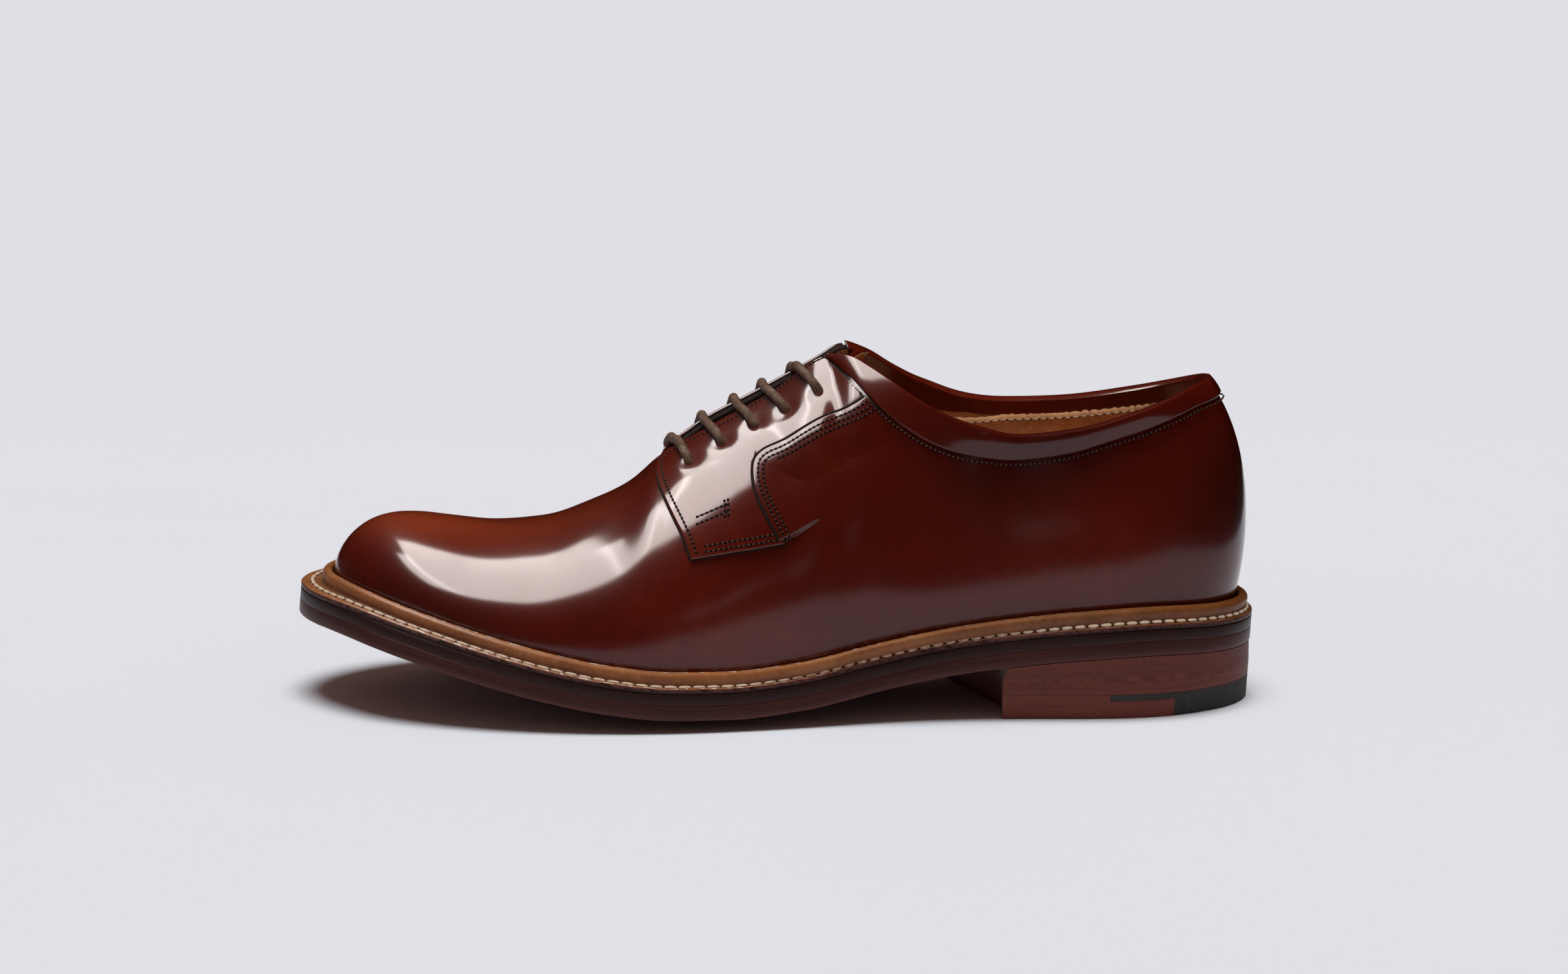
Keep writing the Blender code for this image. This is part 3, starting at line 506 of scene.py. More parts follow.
def build(name, parts, mats, nodes=(), merge=0.00001, smooth=True, flows=None, solid=None):
    """One piece from (points, faces, material number) parts, with its flow values and its painted
    light, shade and finish values.
    """
    verts, faces, marks, flow = [], [], [], []
    count = 0
    for k, (points, polys, mark) in enumerate(parts):
        flat = np.asarray(points, float).reshape(-1, 3)
        verts.append(flat)
        faces.extend((np.asarray(f) + count).tolist() for f in polys)
        marks.extend([mark] * len(polys))
        given = None if flows is None else flows[k]
        flow.append(np.zeros((len(flat), 3)) if given is None else np.reshape(given, (-1, 3)))
        count += len(flat)
    verts, flow = np.concatenate(verts), np.concatenate(flow)
    mesh = bpy.data.meshes.new(name)
    mesh.from_pydata(verts.tolist(), [], faces)
    mesh.attributes.new("flow", "FLOAT_VECTOR", "POINT").data.foreach_set("vector", flow.ravel())
    # each point's painted light and shade, with some burnished finish, from the patches
    mesh.attributes.new("light_shade_and_finish", "FLOAT", "POINT").data.foreach_set("value", light_shade_and_finish(verts))
    for mat in mats:
        mesh.materials.append(MATS[mat])
    mesh.polygons.foreach_set("material_index", marks)
    bm = bmesh.new()
    bm.from_mesh(mesh)
    bmesh.ops.remove_doubles(bm, verts=bm.verts, dist=merge)
    bmesh.ops.dissolve_degenerate(bm, edges=bm.edges, dist=1e-7)
    bmesh.ops.recalc_face_normals(bm, faces=bm.faces)
    for face in bm.faces:
        face.smooth = smooth
    bm.to_mesh(mesh)
    bm.free()
    obj = place_object(name, mesh)
    if solid:
        wall = obj.modifiers.new("wall", "SOLIDIFY")
        wall.thickness, wall.offset = solid, -1
        wall.use_even_offset = wall.use_quality_normals = True
        wall.material_offset, wall.material_offset_rim = 1, 2
        settle(obj)
    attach(obj, "root")
    if nodes:
        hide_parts(*nodes)
    return obj


def place_object(name, data):
    """An object of this mesh, light or camera, put in the scene."""
    obj = bpy.data.objects.new(name, data)
    bpy.context.scene.collection.objects.link(obj)
    return obj


def settle(obj):
    """Make the modifiers' result the object's own mesh."""
    graph = bpy.context.evaluated_depsgraph_get()
    made = bpy.data.meshes.new_from_object(obj.evaluated_get(graph), depsgraph=graph)
    obj.modifiers.clear()
    obj.data = made


def rim_of(rows, cols):
    """Places round the border of a grid, in order."""
    return ([(i, 0) for i in range(rows)] + [(rows - 1, j) for j in range(1, cols)]
            + [(i, cols - 1) for i in range(rows - 2, -1, -1)]
            + [(0, j) for j in range(cols - 2, 0, -1)])


def shell(top, low, mats_rim=1):
    """Parts of a closed solid between two grids of the same size."""
    rows, cols = top.shape[:2]
    rim = rim_of(rows, cols)
    band = np.stack([[sheet[i, j] for i, j in rim] for sheet in (top, low)], 1)
    return [(top, grid_faces(rows, cols), 0), (low, grid_faces(rows, cols, flip=True), 1),
            (band, grid_faces(len(rim), 2, close_rows=True), mats_rim)]


def capped(points, mark=0):
    """Parts of a closed tube: its wall, then its two ends with the mark."""
    rows, cols = points.shape[:2]
    ends = [(points[end], [list(range(cols))], mark) for end in (0, rows - 1)]
    return [(points, grid_faces(rows, cols, close_cols=True), 0)] + ends


def rounded(points, radius, edges):
    """Drop of a grid's surface near some of its borders, as a rounded edge has."""
    down, over = arc_length(points, 1), arc_length(points, 0)
    gaps = {"left": down, "right": down[:, -1:] - down, "front": over}
    return fillet(np.min([gaps[edge] for edge in edges], axis=0), radius)


# Materials

def node(tree, kind, props=None, **inputs):
    made = tree.nodes.new("ShaderNode" + kind)
    for key, value in (props or {}).items():
        setattr(made, key, value)
    for key, value in inputs.items():
        socket = made.inputs[int(key[1:]) if key[1:].isdigit() else key.replace("_", " ")]
        if isinstance(value, bpy.types.NodeSocket):
            tree.links.new(value, socket)
        else:
            socket.default_value = value
    return made


def begin(name, **values):
    """A new material with its tree, its shader and the piece's own coordinates."""
    mat = bpy.data.materials.new(name)
    mat.use_nodes = True
    tree = mat.node_tree
    shader = tree.nodes["Principled BSDF"]
    for key, value in values.items():
        shader.inputs[key.replace("_", " ")].default_value = value
    return mat, tree, shader, node(tree, "TexCoord").outputs["Object"]


def attribute(tree, name, socket="Vector"):
    return node(tree, "Attribute", {"attribute_name": name}).outputs[socket]


def paint(tree, shader, color):
    tree.links.new(color, shader.inputs["Base Color"])


def noise(tree, coords, scale, detail=2.0, rough=0.5):
    return node(tree, "TexNoise", Vector=coords, Scale=scale, Detail=detail,
                Roughness=rough).outputs["Fac"]


def ramp(tree, value, stops):
    made = node(tree, "ValToRGB", i0=value)
    line = made.color_ramp
    while len(line.elements) < len(stops):
        line.elements.new(1.0)
    for element, (at, color) in zip(line.elements, stops):
        element.position = at
        color = (color,) * 3 if isinstance(color, (int, float)) else color
        element.color = (*color, 1)
    return made.outputs["Color"]


def mix(tree, value, a, b, how="MIX"):
    made = node(tree, "Mix", {"data_type": "RGBA", "blend_type": how}, i0=value)
    for index, color in ((6, a), (7, b)):
        if isinstance(color, bpy.types.NodeSocket):
            tree.links.new(color, made.inputs[index])
        else:
            made.inputs[index].default_value = (*color, 1)
    return made.outputs[2]


def sums(tree, a, b, how="ADD", clamp=False):
    return node(tree, "Math", {"operation": how, "use_clamp": clamp}, i0=a, i1=b).outputs[0]


def swing(tree, value, weight):
    """A noise's swing round its middle, weighted."""
    return sums(tree, sums(tree, value, 0.5, "SUBTRACT"), weight, "MULTIPLY")


def bump(tree, shader, height, strength, distance, coat=False):
    made = node(tree, "Bump", Strength=strength, Distance=distance, Height=height)
    tree.links.new(made.outputs[0], shader.inputs["Normal"])
    if coat:
        tree.links.new(made.outputs[0], shader.inputs["Coat Normal"])


def stretched(tree, coords, sizes):
    return node(tree, "Mapping", Vector=coords, Scale=sizes).outputs[0]


def polished(name, shine=0.15, lift=0.0):
    """Chestnut leather with a high shine: burnished tones, painted light and shade, faint wiping
    marks, tiny pores.
    """
    mat, tree, shader, place = begin(name, Roughness=0.45, Coat_Weight=1.0, Coat_Roughness=shine,
                                     Coat_IOR=1.46, Specular_IOR_Level=0.05)
    # the patches' painted light and shade and burnished finish, on the base tone
    value = sums(tree, attribute(tree, "light_shade_and_finish", "Fac"), BASE_TONE + lift)
    wiped = stretched(tree, place, (260.0, 900.0, 1500.0))
    for coords, scale, rough, weight in ((place, 26.0, 0.55, 0.30), (place, 160.0, 0.6, 0.14),
                                         (wiped, 1.0, 0.6, 0.10)):
        value = sums(tree, value, swing(tree, noise(tree, coords, scale, 3.0, rough), weight))
    pores = noise(tree, place, 2600.0)
    specks = ramp(tree, pores, ((0.30, 0.80), (0.45, 1.0)))
    paint(tree, shader, mix(tree, 1.0, ramp(tree, value, LEATHER), specks, "MULTIPLY"))
    bump(tree, shader, pores, 0.05, 0.00012, coat=True)
    return mat


def plain(name, stops, grain, fine=None, **values):
    """A material of one noise between a few tones, with a fine bump."""
    mat, tree, shader, place = begin(name, **values)
    paint(tree, shader, ramp(tree, noise(tree, place, *grain), stops))
    if fine:
        strength, distance, *grain = fine
        bump(tree, shader, noise(tree, place, *grain), strength, distance)
    return mat


def suede(name):
    """Unfinished tan lining with nap, rubbed paler in places."""
    mat, tree, shader, place = begin(name, Roughness=0.95, Sheen_Weight=0.3,
                                     Specular_IOR_Level=0.15)
    cloud = sums(tree, noise(tree, place, 60.0, 4.0, 0.6), noise(tree, place, 1400.0, 3.0, 0.7))
    paint(tree, shader, ramp(tree, sums(tree, cloud, 0.5, "MULTIPLY"), LINING))
    bump(tree, shader, noise(tree, place, 1900.0, 4.0, 0.75), 0.8, 0.0004)
    return mat


def dressed_edge(name, stops, span, streak=0.5, gloss=0.38):
    """Sole or heel edge: bands across its depth and fine lines along it, waxed."""
    mat, tree, shader, _ = begin(name, Roughness=gloss, Coat_Weight=0.1, Coat_Roughness=0.3,
                                 Specular_IOR_Level=0.1)
    flow = attribute(tree, "flow")
    depth = node(tree, "SeparateXYZ", Vector=flow).outputs[1]
    lines = noise(tree, stretched(tree, flow, (28.0, 2300.0, 28.0)), 1.0, 4.0, 0.7)
    wide = noise(tree, stretched(tree, flow, (5.0, 400.0, 5.0)), 1.0)
    value = sums(tree, sums(tree, depth, 1.0 / span, "MULTIPLY"), swing(tree, wide, 0.08))
    shade = ramp(tree, lines, ((0.30, 1.0 - streak), (0.52, 1.0), (0.74, 1.0 + 0.6 * streak)))
    paint(tree, shader, mix(tree, 1.0, ramp(tree, value, stops), shade, "MULTIPLY"))
    bump(tree, shader, lines, 0.35, 0.0003)
    return mat


def welt_leather(name):
    """Tan veg leather: waxed, with painted shade in the crease and round the heel, pale where the
    edges are worn.
    """
    mat, tree, shader, place = begin(name, Roughness=0.5, Coat_Weight=0.2, Coat_Roughness=0.3,
                                     Specular_IOR_Level=0.25)
    wear, painted_shade = node(tree, "SeparateXYZ", Vector=attribute(tree, "flow")).outputs[1:]
    grain = noise(tree, place, 700.0, 4.0, 0.65)
    cloud = noise(tree, place, 45.0, 3.0, 0.6)
    tint = sums(tree, sums(tree, cloud, 0.6, "MULTIPLY"), sums(tree, grain, 0.4, "MULTIPLY"))
    rub = sums(tree, wear, sums(tree, grain, 0.55, "SUBTRACT"), clamp=True)
    rub = ramp(tree, rub, ((0.42, 0.0), (0.62, 1.0)))
    color = mix(tree, rub, ramp(tree, tint, WELT_TAN), (0.640, 0.470, 0.350))
    # painted shade: darker in the creases at the lip's foot and against the upper, and round the
    # heel
    dark = ramp(tree, painted_shade, ((0.0, 1.0), (1.0, 0.12)))
    paint(tree, shader, mix(tree, 1.0, color, dark, "MULTIPLY"))
    bump(tree, shader, grain, 0.35, 0.0003)
    return mat


def thread(name, dark, light):
    twist = (2600.0, 2.0, 0.6)
    return plain(name, ((0.3, dark), (0.7, light)), twist, (0.5, 0.0002, *twist),
                 Roughness=0.7, Specular_IOR_Level=0.2)


def cord_cloth(name):
    """Waxed woven cord: a fine braid round the cord, greyed where it rubs."""
    mat, tree, shader, place = begin(name, Roughness=0.66, Specular_IOR_Level=0.15)
    braid = stretched(tree, attribute(tree, "flow"), (1500.0, 5.0, 1.0))
    braid = node(tree, "TexChecker", Vector=braid, Scale=1.0, Color1=(1, 1, 1, 1),
                 Color2=(0.72, 0.72, 0.72, 1)).outputs["Color"]
    color = ramp(tree, noise(tree, place, 420.0, 4.0, 0.7), CORD)
    paint(tree, shader, mix(tree, 0.55, color, mix(tree, 1.0, color, braid, "MULTIPLY")))
    both = sums(tree, braid, sums(tree, noise(tree, place, 2600.0), 0.6, "MULTIPLY"))
    bump(tree, shader, both, 0.5, 0.0002)
    return mat


# Sole edge tones, top to bottom; the last stop lightens the bottom rim, a painted highlight
SOLE_STOPS = ((0.00, (0.040, 0.0095, 0.0060)), (0.16, (0.024, 0.0085, 0.0070)),
              (0.42, (0.026, 0.0105, 0.0090)), (0.58, (0.055, 0.0165, 0.0125)),
              (0.80, (0.050, 0.0150, 0.0115)), (1.00, (0.100, 0.0340, 0.0270)))
HEEL_STOPS = ((0.00, (0.150, 0.0400, 0.0280)), (0.35, (0.120, 0.0310, 0.0220)),
              (0.60, (0.155, 0.0410, 0.0290)), (1.00, (0.165, 0.0430, 0.0310)))
MATS = {
    "leather": polished("polished_leather"),
    "tab": polished("tab_leather", shine=0.12, lift=0.05),
    "band": polished("band_leather", shine=0.14, lift=0.05),
    "cut": plain("cut_edge", ((0.35, (0.008, 0.004, 0.003)), (0.70, (0.030, 0.010, 0.007))),
                 (900.0, 3.0), (0.4, 0.0002, 2500.0), Roughness=0.8, Specular_IOR_Level=0.12),
    "suede": suede("lining_suede"),
    "welt": welt_leather("welt_tan"),
    "sole": dressed_edge("sole_edge", SOLE_STOPS, SOLE_DEPTH),
    "heel": dressed_edge("heel_edge", HEEL_STOPS, HEEL_DEPTH, streak=0.38, gloss=0.5),
    "rubber": plain("tip_rubber", ((0.35, (0.018, 0.017, 0.015)), (0.68, (0.034, 0.032, 0.029))),
                    (500.0, 4.0, 0.7), (0.35, 0.0002, 2400.0, 3.0), Roughness=0.72,
                    Specular_IOR_Level=0.35),
    "cord": cord_cloth("lace_cord"),
    "brown_thread": thread("brown_thread", (0.034, 0.008, 0.005), (0.150, 0.055, 0.034)),
    "cream_thread": thread("cream_thread", (0.420, 0.280, 0.180), (0.800, 0.650, 0.500)),
    # near-black, for the painted shade in needle holes and eyelet mouths
    "hole_shade": plain("hole_shadow", ((0.3, (0.0020, 0.0012, 0.0010)), (0.7, (0.0060, 0.0026, 0.0018))),
                  (800.0,), Roughness=0.9, Specular_IOR_Level=0.1),
}
SIDE_NAMES = {1: "lateral", -1: "medial"}


# Upper

def ring_stations(count=250):
    return spaced(count, 0.45)


def around_shoe(make, at):
    return np.concatenate([make(1, at), make(-1, at[1:-1][::-1])])


def upper():
    level = np.linspace(0, 1, 64)
    level = level - 0.35 * np.sin(2 * np.pi * level) / (2 * np.pi)
    grid = around_shoe(lambda side, at: skin(side, at[:, None], level[None, :]), ring_stations())
    rows, cols = grid.shape[:2]
    build("upper_shell", [(grid, grid_faces(rows, cols, close_rows=True), 0)],
          ["leather", "suede", "cut"], ["upper"], merge=0.00002, solid=WALL)


def facing_rows(at):
    rows = np.array(FACING)
    return through(np.linspace(0, 1, len(rows)), rows, at)


def facing_grid(side, at, share):
    """Stations and levels of the tab: at runs along it, share from its low edge to the throat."""
    row = facing_rows(at)
    line = row[:, 1:2] * (1 - share) + row[:, :1] * share
    station = line + row[:, 3:4] * np.sin(np.pi * share**row[:, 4:5])
    level = row[:, 2:3] * (1 - share) + 0.992 * share
    return mirrored(side, station), level


def crossing(at, lead=0.0):
    """Medial station where the slanted bar of a lateral eyelet meets the inner facing."""
    grid = np.linspace(0.38, 0.66, 240)
    x = surface(1, at + LACE_SLANT, 1.0)[..., 0] + lead
    return np.interp(x, surface(-1, grid, 1.0)[:, 0], grid)


def eyelet_places(side):
    rows = np.array(EYELETS)
    at = rows[:, 0]
    if side < 0:
        at = crossing(at, MEDIAL_LEAD)
    return at, rows[:, 1]


def dimples(side, points):
    """How far the lace pulls the leather down round each eyelet."""
    total = np.zeros(points.shape[:-1])
    for at, seat in zip(*eyelet_places(side)):
        gap = np.linalg.norm(points - surface(side, at, seat), axis=-1)
        total += DIMPLE_DEPTH * np.exp(-(gap / DIMPLE_REACH)**2)
    return total


def facing(side):
    """The facing tab: rounded front, bottom and throat edges; its back goes under the seam."""
    at, share = spaced(150, 0.93), spaced(70, 0.95)
    station, level = facing_grid(side, at, share)
    flat = surface(side, station, level)
    past = np.clip((at - CORNER_ROW) / 0.02, 0, 1)[:, None]
    height = TAB_HEIGHT - rounded(flat, EDGE_ROUND, ("front", "right"))
    height = height - rounded(flat, EDGE_ROUND, ("left",)) * (1 - past) - dimples(side, flat)
    height = height - UNDER * past * np.exp(-arc_length(flat, 1) / 0.003)
    build("facing_tab_" + SIDE_NAMES[side],
          shell(skin(side, station, level, height), skin(side, station, level, -UNDER)),
          ["tab", "cut"], ["facing_" + SIDE_NAMES[side]], merge=FINE_MERGE)


def seam_line(side, count=220):
    """The lower back outline of the tab, from its lower back corner up to the collar."""
    at = CORNER_ROW + (1 - CORNER_ROW) * np.linspace(0, 1, count)
    row = facing_rows(at)
    return smooth_line(mirrored(side, row[:, 1]), 110), smooth_line(row[:, 2], 110)


def seam_fade(count):
    """How far the strip has risen, from nothing below the tab's corner."""
    return ease(np.arange(count) / 9.0)


def seam_height(reach):
    return SEAM_HEIGHT * (1 - ease(reach / SEAM_REACH))


def seam_edge(side):
    """The quarter's edge where it laps over the tab, blending into the upper behind it."""
    station, level = seam_line(side)
    reach = np.concatenate([-SEAM_LAP + (SEAM_LAP - 0.0004) * np.linspace(0, 1, 7)**1.5,
                            SEAM_REACH * np.linspace(0, 1, 44)**1.6])
    s, l = np.moveaxis([beside(side, station, level, r) for r in reach], 0, -1)
    fade = seam_fade(len(station))[:, None]
    profile = seam_height(reach) - fillet(reach + SEAM_LAP, EDGE_ROUND)
    profile = profile - 0.00012 * np.clip(reach / SEAM_REACH, 0, 1)
    height = profile[None, :] * fade - SEAM_SINK * (1 - fade)
    build("seam_edge_" + SIDE_NAMES[side],
          shell(skin(side, s, l, height), skin(side, s, l, -0.0006)),
          ["leather", "cut"], merge=FINE_MERGE)


def cut_edges(side):
    """The dark cut edges: round the tab's front and bottom, and under the quarter's lap."""
    share = np.linspace(0.97, 0.0, 60)
    front = [line[0] for line in facing_grid(side, np.array([0.0]), share)]
    along = np.linspace(0, CORNER_ROW, 70)[1:]
    bottom = [line[:, 0] for line in facing_grid(side, along, np.array([0.0]))]
    outline = [np.concatenate(pair) for pair in zip(front, bottom)]
    lap = [line[9:-2] for line in beside(side, *seam_line(side), -SEAM_LAP)]
    parts = []
    for line, height, radius in ((outline, 0.0003, 0.00062), (lap, TAB_HEIGHT + 0.0001, 0.00050)):
        parts += capped(tube(smooth_path(skin(side, *line, height), 0.0005), radius, 10)[0])
    build("cut_edge_" + SIDE_NAMES[side], parts, ["cut"], merge=TINY_MERGE)


def padding(at):
    """How much thicker the padded collar grows towards its top."""
    return COLLAR_PAD * np.interp(at, (0.0, 0.05, 0.14, 0.33, 0.40), (0.0, 0.2, 1.0, 1.0, 0.3))


def band_height(share, length, pad):
    """Height of the collar band's outer face: a rounded lower edge, then padded."""
    padded = BAND_HEIGHT + pad * (share - 0.14 * share**6) + 0.0002 * np.sin(np.pi * share)
    return padded - fillet(share * length, BAND_ROUND)


def collar_band():
    """The collar's binding, folded over the top line and down inside."""
    at = spaced(190, 0.3) * (CORNER_STATION[1] - 0.004)
    low = table(BAND, at)[..., 0][:, None]
    share = spaced(26, 0.5)
    inside = np.linspace(1, 0, 22)
    turn = np.radians(np.linspace(0, 180, 13)[1:-1])[None, :, None]
    depth = np.interp(at, (0, 0.06, 0.12, 0.32, 0.38, 0.44),
                      (0.86, 0.90, 0.925, 0.925, 0.86, 0.84))[:, None]
    inner_level = depth + (1 - depth) * inside
    pad = padding(at)[:, None]
    thick = (WALL + BAND_HEIGHT + 0.0005 + 0.86 * pad)[..., None]
    level = low * (1 - share) + share
    halves = []
    for side in (-1, 1):
        station = mirrored(side, at)[:, None]
        flat = surface(side, station, level)
        length = np.linalg.norm(flat[:, -1] - flat[:, 0], axis=-1)[:, None]
        outer = skin(side, station, level, band_height(share[None, :], length, pad))
        rise, normal = directions(side, station, np.ones((1, 1)))[1:]
        roll = (outer[:, -1:] - normal * thick / 2 + normal * np.cos(turn) * thick / 2
                + unit(rise) * np.sin(turn) * ROLL_RISE)
        inner = skin(side, station, inner_level, -(WALL + 0.0005))
        back = skin(side, station, inner_level[:, -1:], -0.0006)
        under = skin(side, station, level[:, :1], -UNDER)
        halves.append(np.concatenate([outer, roll, inner, back, under], 1))
    grid = np.concatenate([halves[0][::-1], halves[1][1:]])
    build("collar_binding", capped(grid, 1), ["band", "cut"], ["collar_band"],
          merge=FINE_MERGE)


def tongue():
    """The tongue under the facings, and its tip above them."""
    q = spaced(60, 0.3)
    level = np.linspace(0.78, 0.985, 14)[None, :]
    left, right = [
        skin(side, (q * 0.660 + (1 - q) * (CORNER_STATION[side] + 0.012))[:, None], level,
             -(WALL + 0.0030)) for side in (1, -1)]
    right = right[:, ::-1]
    centre = (left[:, -1:] + right[:, :1]) / 2
    centre[..., 2] += 0.0009
    rows = np.concatenate([left, centre, right], 1)
    line, fine = np.linspace(0, 1, rows.shape[1]), np.linspace(0, 1, 41)
    rows = np.stack([through(line, row, fine) for row in rows])
    middle = 20
    climb = unit(rows[0, middle] - rows[8, middle])
    tip = []
    for reach in np.linspace(TIP_LENGTH, 0.0012, 14):
        t = reach / TIP_LENGTH
        row = rows[0] + climb * reach
        row[:, 1] = row[middle, 1] + (row[:, 1] - row[middle, 1]) * (1 - 0.50 * t**3)
        row[:, 2] -= 0.0010 * t
        tip.append(row)
    grid = np.concatenate([np.array(tip), rows])
    bend = unit(np.cross(np.gradient(grid, axis=0), np.gradient(grid, axis=1)))
    bend *= np.sign(bend[..., 2:3])
    drop = rounded(grid, 0.0006, ("front", "left", "right"))[..., None]
    build("tongue_leather", shell(grid - bend * drop, grid - bend * (TONGUE_THICKNESS - drop), 0),
          ["band", "suede"], ["tongue"], merge=FINE_MERGE)


# Lining inside the quarters, with its rough upper edge

def frayed(x):
    return (np.sin(x * 41.0) + 0.6 * np.sin(x * 97.0 + 1.3) + 0.4 * np.sin(x * 211.0 + 0.4)
            + 0.3 * np.sin(x * 463.0 + 2.0))


def lining():
    at = spaced(220, 0.2) * 0.60
    share = np.linspace(0, 1, 26)
    height = (-(WALL + 0.0009) - 0.0008 * share**6, -(WALL - 0.0006))
    halves = []
    for side in (-1, 1):
        edge = np.interp(at, (0, 0.10, 0.20, 0.28, 0.36, 0.44, 0.60),
                         (0.84, 0.915, 0.93, 0.93, 0.86, 0.70, 0.60))
        edge = edge + 0.004 * frayed(at * 14 + side)
        level = 0.02 + (edge[:, None] - 0.02) * share
        halves.append([skin(side, mirrored(side, at)[:, None], level, h) for h in height])
    top, low = [np.concatenate([medial[::-1], lateral[1:]]) for medial, lateral in zip(*halves)]
    build("quarter_lining", shell(low, top), ["suede", "suede"],
          merge=FINE_MERGE)


# Welt, soles and heel

def lip_lean(side, at, heights):
    level = np.linspace(0, 0.25, 26)
    wall = skin(side, at[:, None], level[None, :])
    plan, normal = feather(side, at)
    out = np.einsum("ijk,ik->ij", wall[..., :2] - plan[:, None], normal)
    rise = wall[..., 2] - wall[:, :1, 2]
    return np.array([[np.interp(h, rise[i], out[i]) for h in heights] for i in range(len(at))])


# The lip's section; its last column paints shade into the creases at its foot and against the upper
LIP_FORM = (
    # lean share, out share, rise share, wear, painted shade
    (0.0, 1.03, 0.00, 0.00, 0.5), (0.3, 1.00, 0.20, 0.00, 0.35), (0.7, 1.02, 0.42, 0.00, 0.1),
    (0.9, 1.00, 0.62, 0.05, 0.0), (1.0, 0.93, 0.79, 0.15, 0.0), (1.0, 0.80, 0.91, 0.35, 0.0),
    (1.0, 0.62, 0.98, 0.60, 0.0), (1.0, 0.42, 1.00, 0.92, 0.0), (1.0, 0.22, 0.97, 0.92, 0.1),
    (1.0, 0.06, 0.88, 0.20, 0.6), (0.9, 0.00, 0.70, 0.00, 1.0), (0.0, 0.00, 0.00, 0.00, 1.0),
)


def welt():
    at = ring_stations(300)

    def rows(side, at):
        plan, normal = feather(side, at)
        edge = margin(at)
        lean = lip_lean(side, at, (LIP_HEIGHT,))[:, 0] + 1.9 * GAP
        inner = np.full_like(edge, -(WALL + 2 * GAP))
        foot = 1.5 * GAP
        ledge = foot + LIP_WIDTH * 1.03
        flat = (
            # out, depth, wear, painted shade
            (inner, WELT_THICKNESS, 0, 0), (edge - 0.0004, WELT_THICKNESS, 0, 0),
            (edge - 0.0001, WELT_THICKNESS - 0.0003, 0, 0), (edge, WELT_THICKNESS - 0.0007, 0, 0),
            (edge, 0.0010, 0.10, 0), (edge - 0.0001, 0.0005, 0.60, 0),
            (edge - 0.0004, 0.0002, 0.95, 0), (edge - 0.0008, 0.0, 0.85, 0),
            (edge * 0.75 + ledge * 0.25, 0.0001, 0.15, 0.0),
            (edge * 0.4 + ledge * 0.6, 0.0001, 0.0, 0.15),
            (np.minimum(ledge + 0.0005, edge * 0.3 + ledge * 0.7), 0.0, 0.0, 0.4))
        # reach, depth, rise, wear, painted shade
        places = [(out, depth, 0, wear, painted_shade) for out, depth, wear, painted_shade in flat]
        places += [(foot * (1 - share) + lean * share + out * LIP_WIDTH, 0, rise, wear, painted_shade)
                   for share, out, rise, wear, painted_shade in LIP_FORM]
        places.append((inner, 0, 0, 0, 1))
        points = np.stack([sole_point(plan + normal * place[0][:, None], place[1])
                           for place in places], 1)
        marks = np.array([place[2:] for place in places])
        points[..., 2] += marks[:, 0] * LIP_HEIGHT
        # the lip's edge is rubbed pale along the forepart, and painted shade darkens the welt round
        # the heel
        share = np.interp(at, (0, 0.2, 0.42, 0.60, 0.78, 0.9, 1),
                          (0.1, 0.45, 0.75, 1, 1, 0.35, 0.1))[:, None]
        heel = np.interp(at, (0, 0.18, 0.38, 0.50), (0.45, 0.42, 0.22, 0.0))[:, None]
        flow = np.stack([arc_length(plan)[:, None] + 0 * marks[:, 0],
                         marks[:, 1] * (0.35 + 0.65 * share), np.maximum(marks[:, 2], heel)], -1)
        return np.concatenate([points, flow], -1)

    grid = around_shoe(rows, at)
    count, cols = grid.shape[:2]
    faces = grid_faces(count, cols, close_rows=True, close_cols=True)
    edge_faces = (np.arange(cols) < 5)[faces[:, 0] % cols]
    points, flow = grid[..., :3], grid[..., 3:]
    depth = flow.copy()
    depth[..., 1] = WELT_THICKNESS * np.interp(np.arange(cols), (0, 1, 3, 4, 5),
                                               (1, 1, 0.9, 0.3, 0))
    build("storm_welt", [(points, faces[edge_faces], 1), (points, faces[~edge_faces], 0)],
          ["welt", "sole"], ["welt"], flows=[depth, flow])


def sole_layer(name, offset, top_depth, low_depth, mat, nodes, low_round, top_round=None,
               floor=False):
    """A layer of the sole: its faces as grids, and its edge with softened corners."""
    at = ring_stations(300)
    a, b = low_round if top_round is None else top_round, low_round
    section = (
        # inset, depth
        (a, top_depth), (a * 0.3, top_depth + a * 0.3), (0, top_depth + a),
        (0, 0.5 * (top_depth + low_depth)), (0, low_depth - b),
        (b * 0.3, low_depth - b * 0.3), (b, low_depth))

    def grounded(points):
        if floor:
            points[..., 2] = np.maximum(points[..., 2], 0)
        return points

    def edge_rows(side, at):
        plan, normal = feather(side, at)
        rows = [grounded(sole_point(plan + normal * (offset(at) - inset)[:, None], depth))
                for inset, depth in section]
        flow = np.zeros((len(at), len(section), 3))
        flow[..., 0] = arc_length(plan)[:, None]
        flow[..., 1] = [depth for _, depth in section]
        return np.concatenate([np.stack(rows, 1), flow], -1)

    wall = around_shoe(edge_rows, at)
    share = np.linspace(0, 1, 30)[None, :, None]
    parts = [(wall[..., :3], grid_faces(len(wall), len(section), close_rows=True), 0)]
    for inset, depth in ((a, top_depth), (b, low_depth)):
        lateral, medial = [
            (plan + normal * (offset(at) - inset)[:, None])[:, None]
            for plan, normal in (feather(1, at), feather(-1, at))]
        face = grounded(sole_point(medial * (1 - share) + lateral * share, depth))
        parts.append((face, grid_faces(len(at), 30), 0))
    build(name, parts, [mat], nodes, flows=[wall[..., 3:], None, None], merge=0.00002)


def breast_x(y):
    rows = np.array(BREAST)[::-1]
    x = through(rows[:, 0] * BALL_WIDTH, rows[:, 1:], y)[..., 0]
    return (x - 0.5) * SHOE_LENGTH


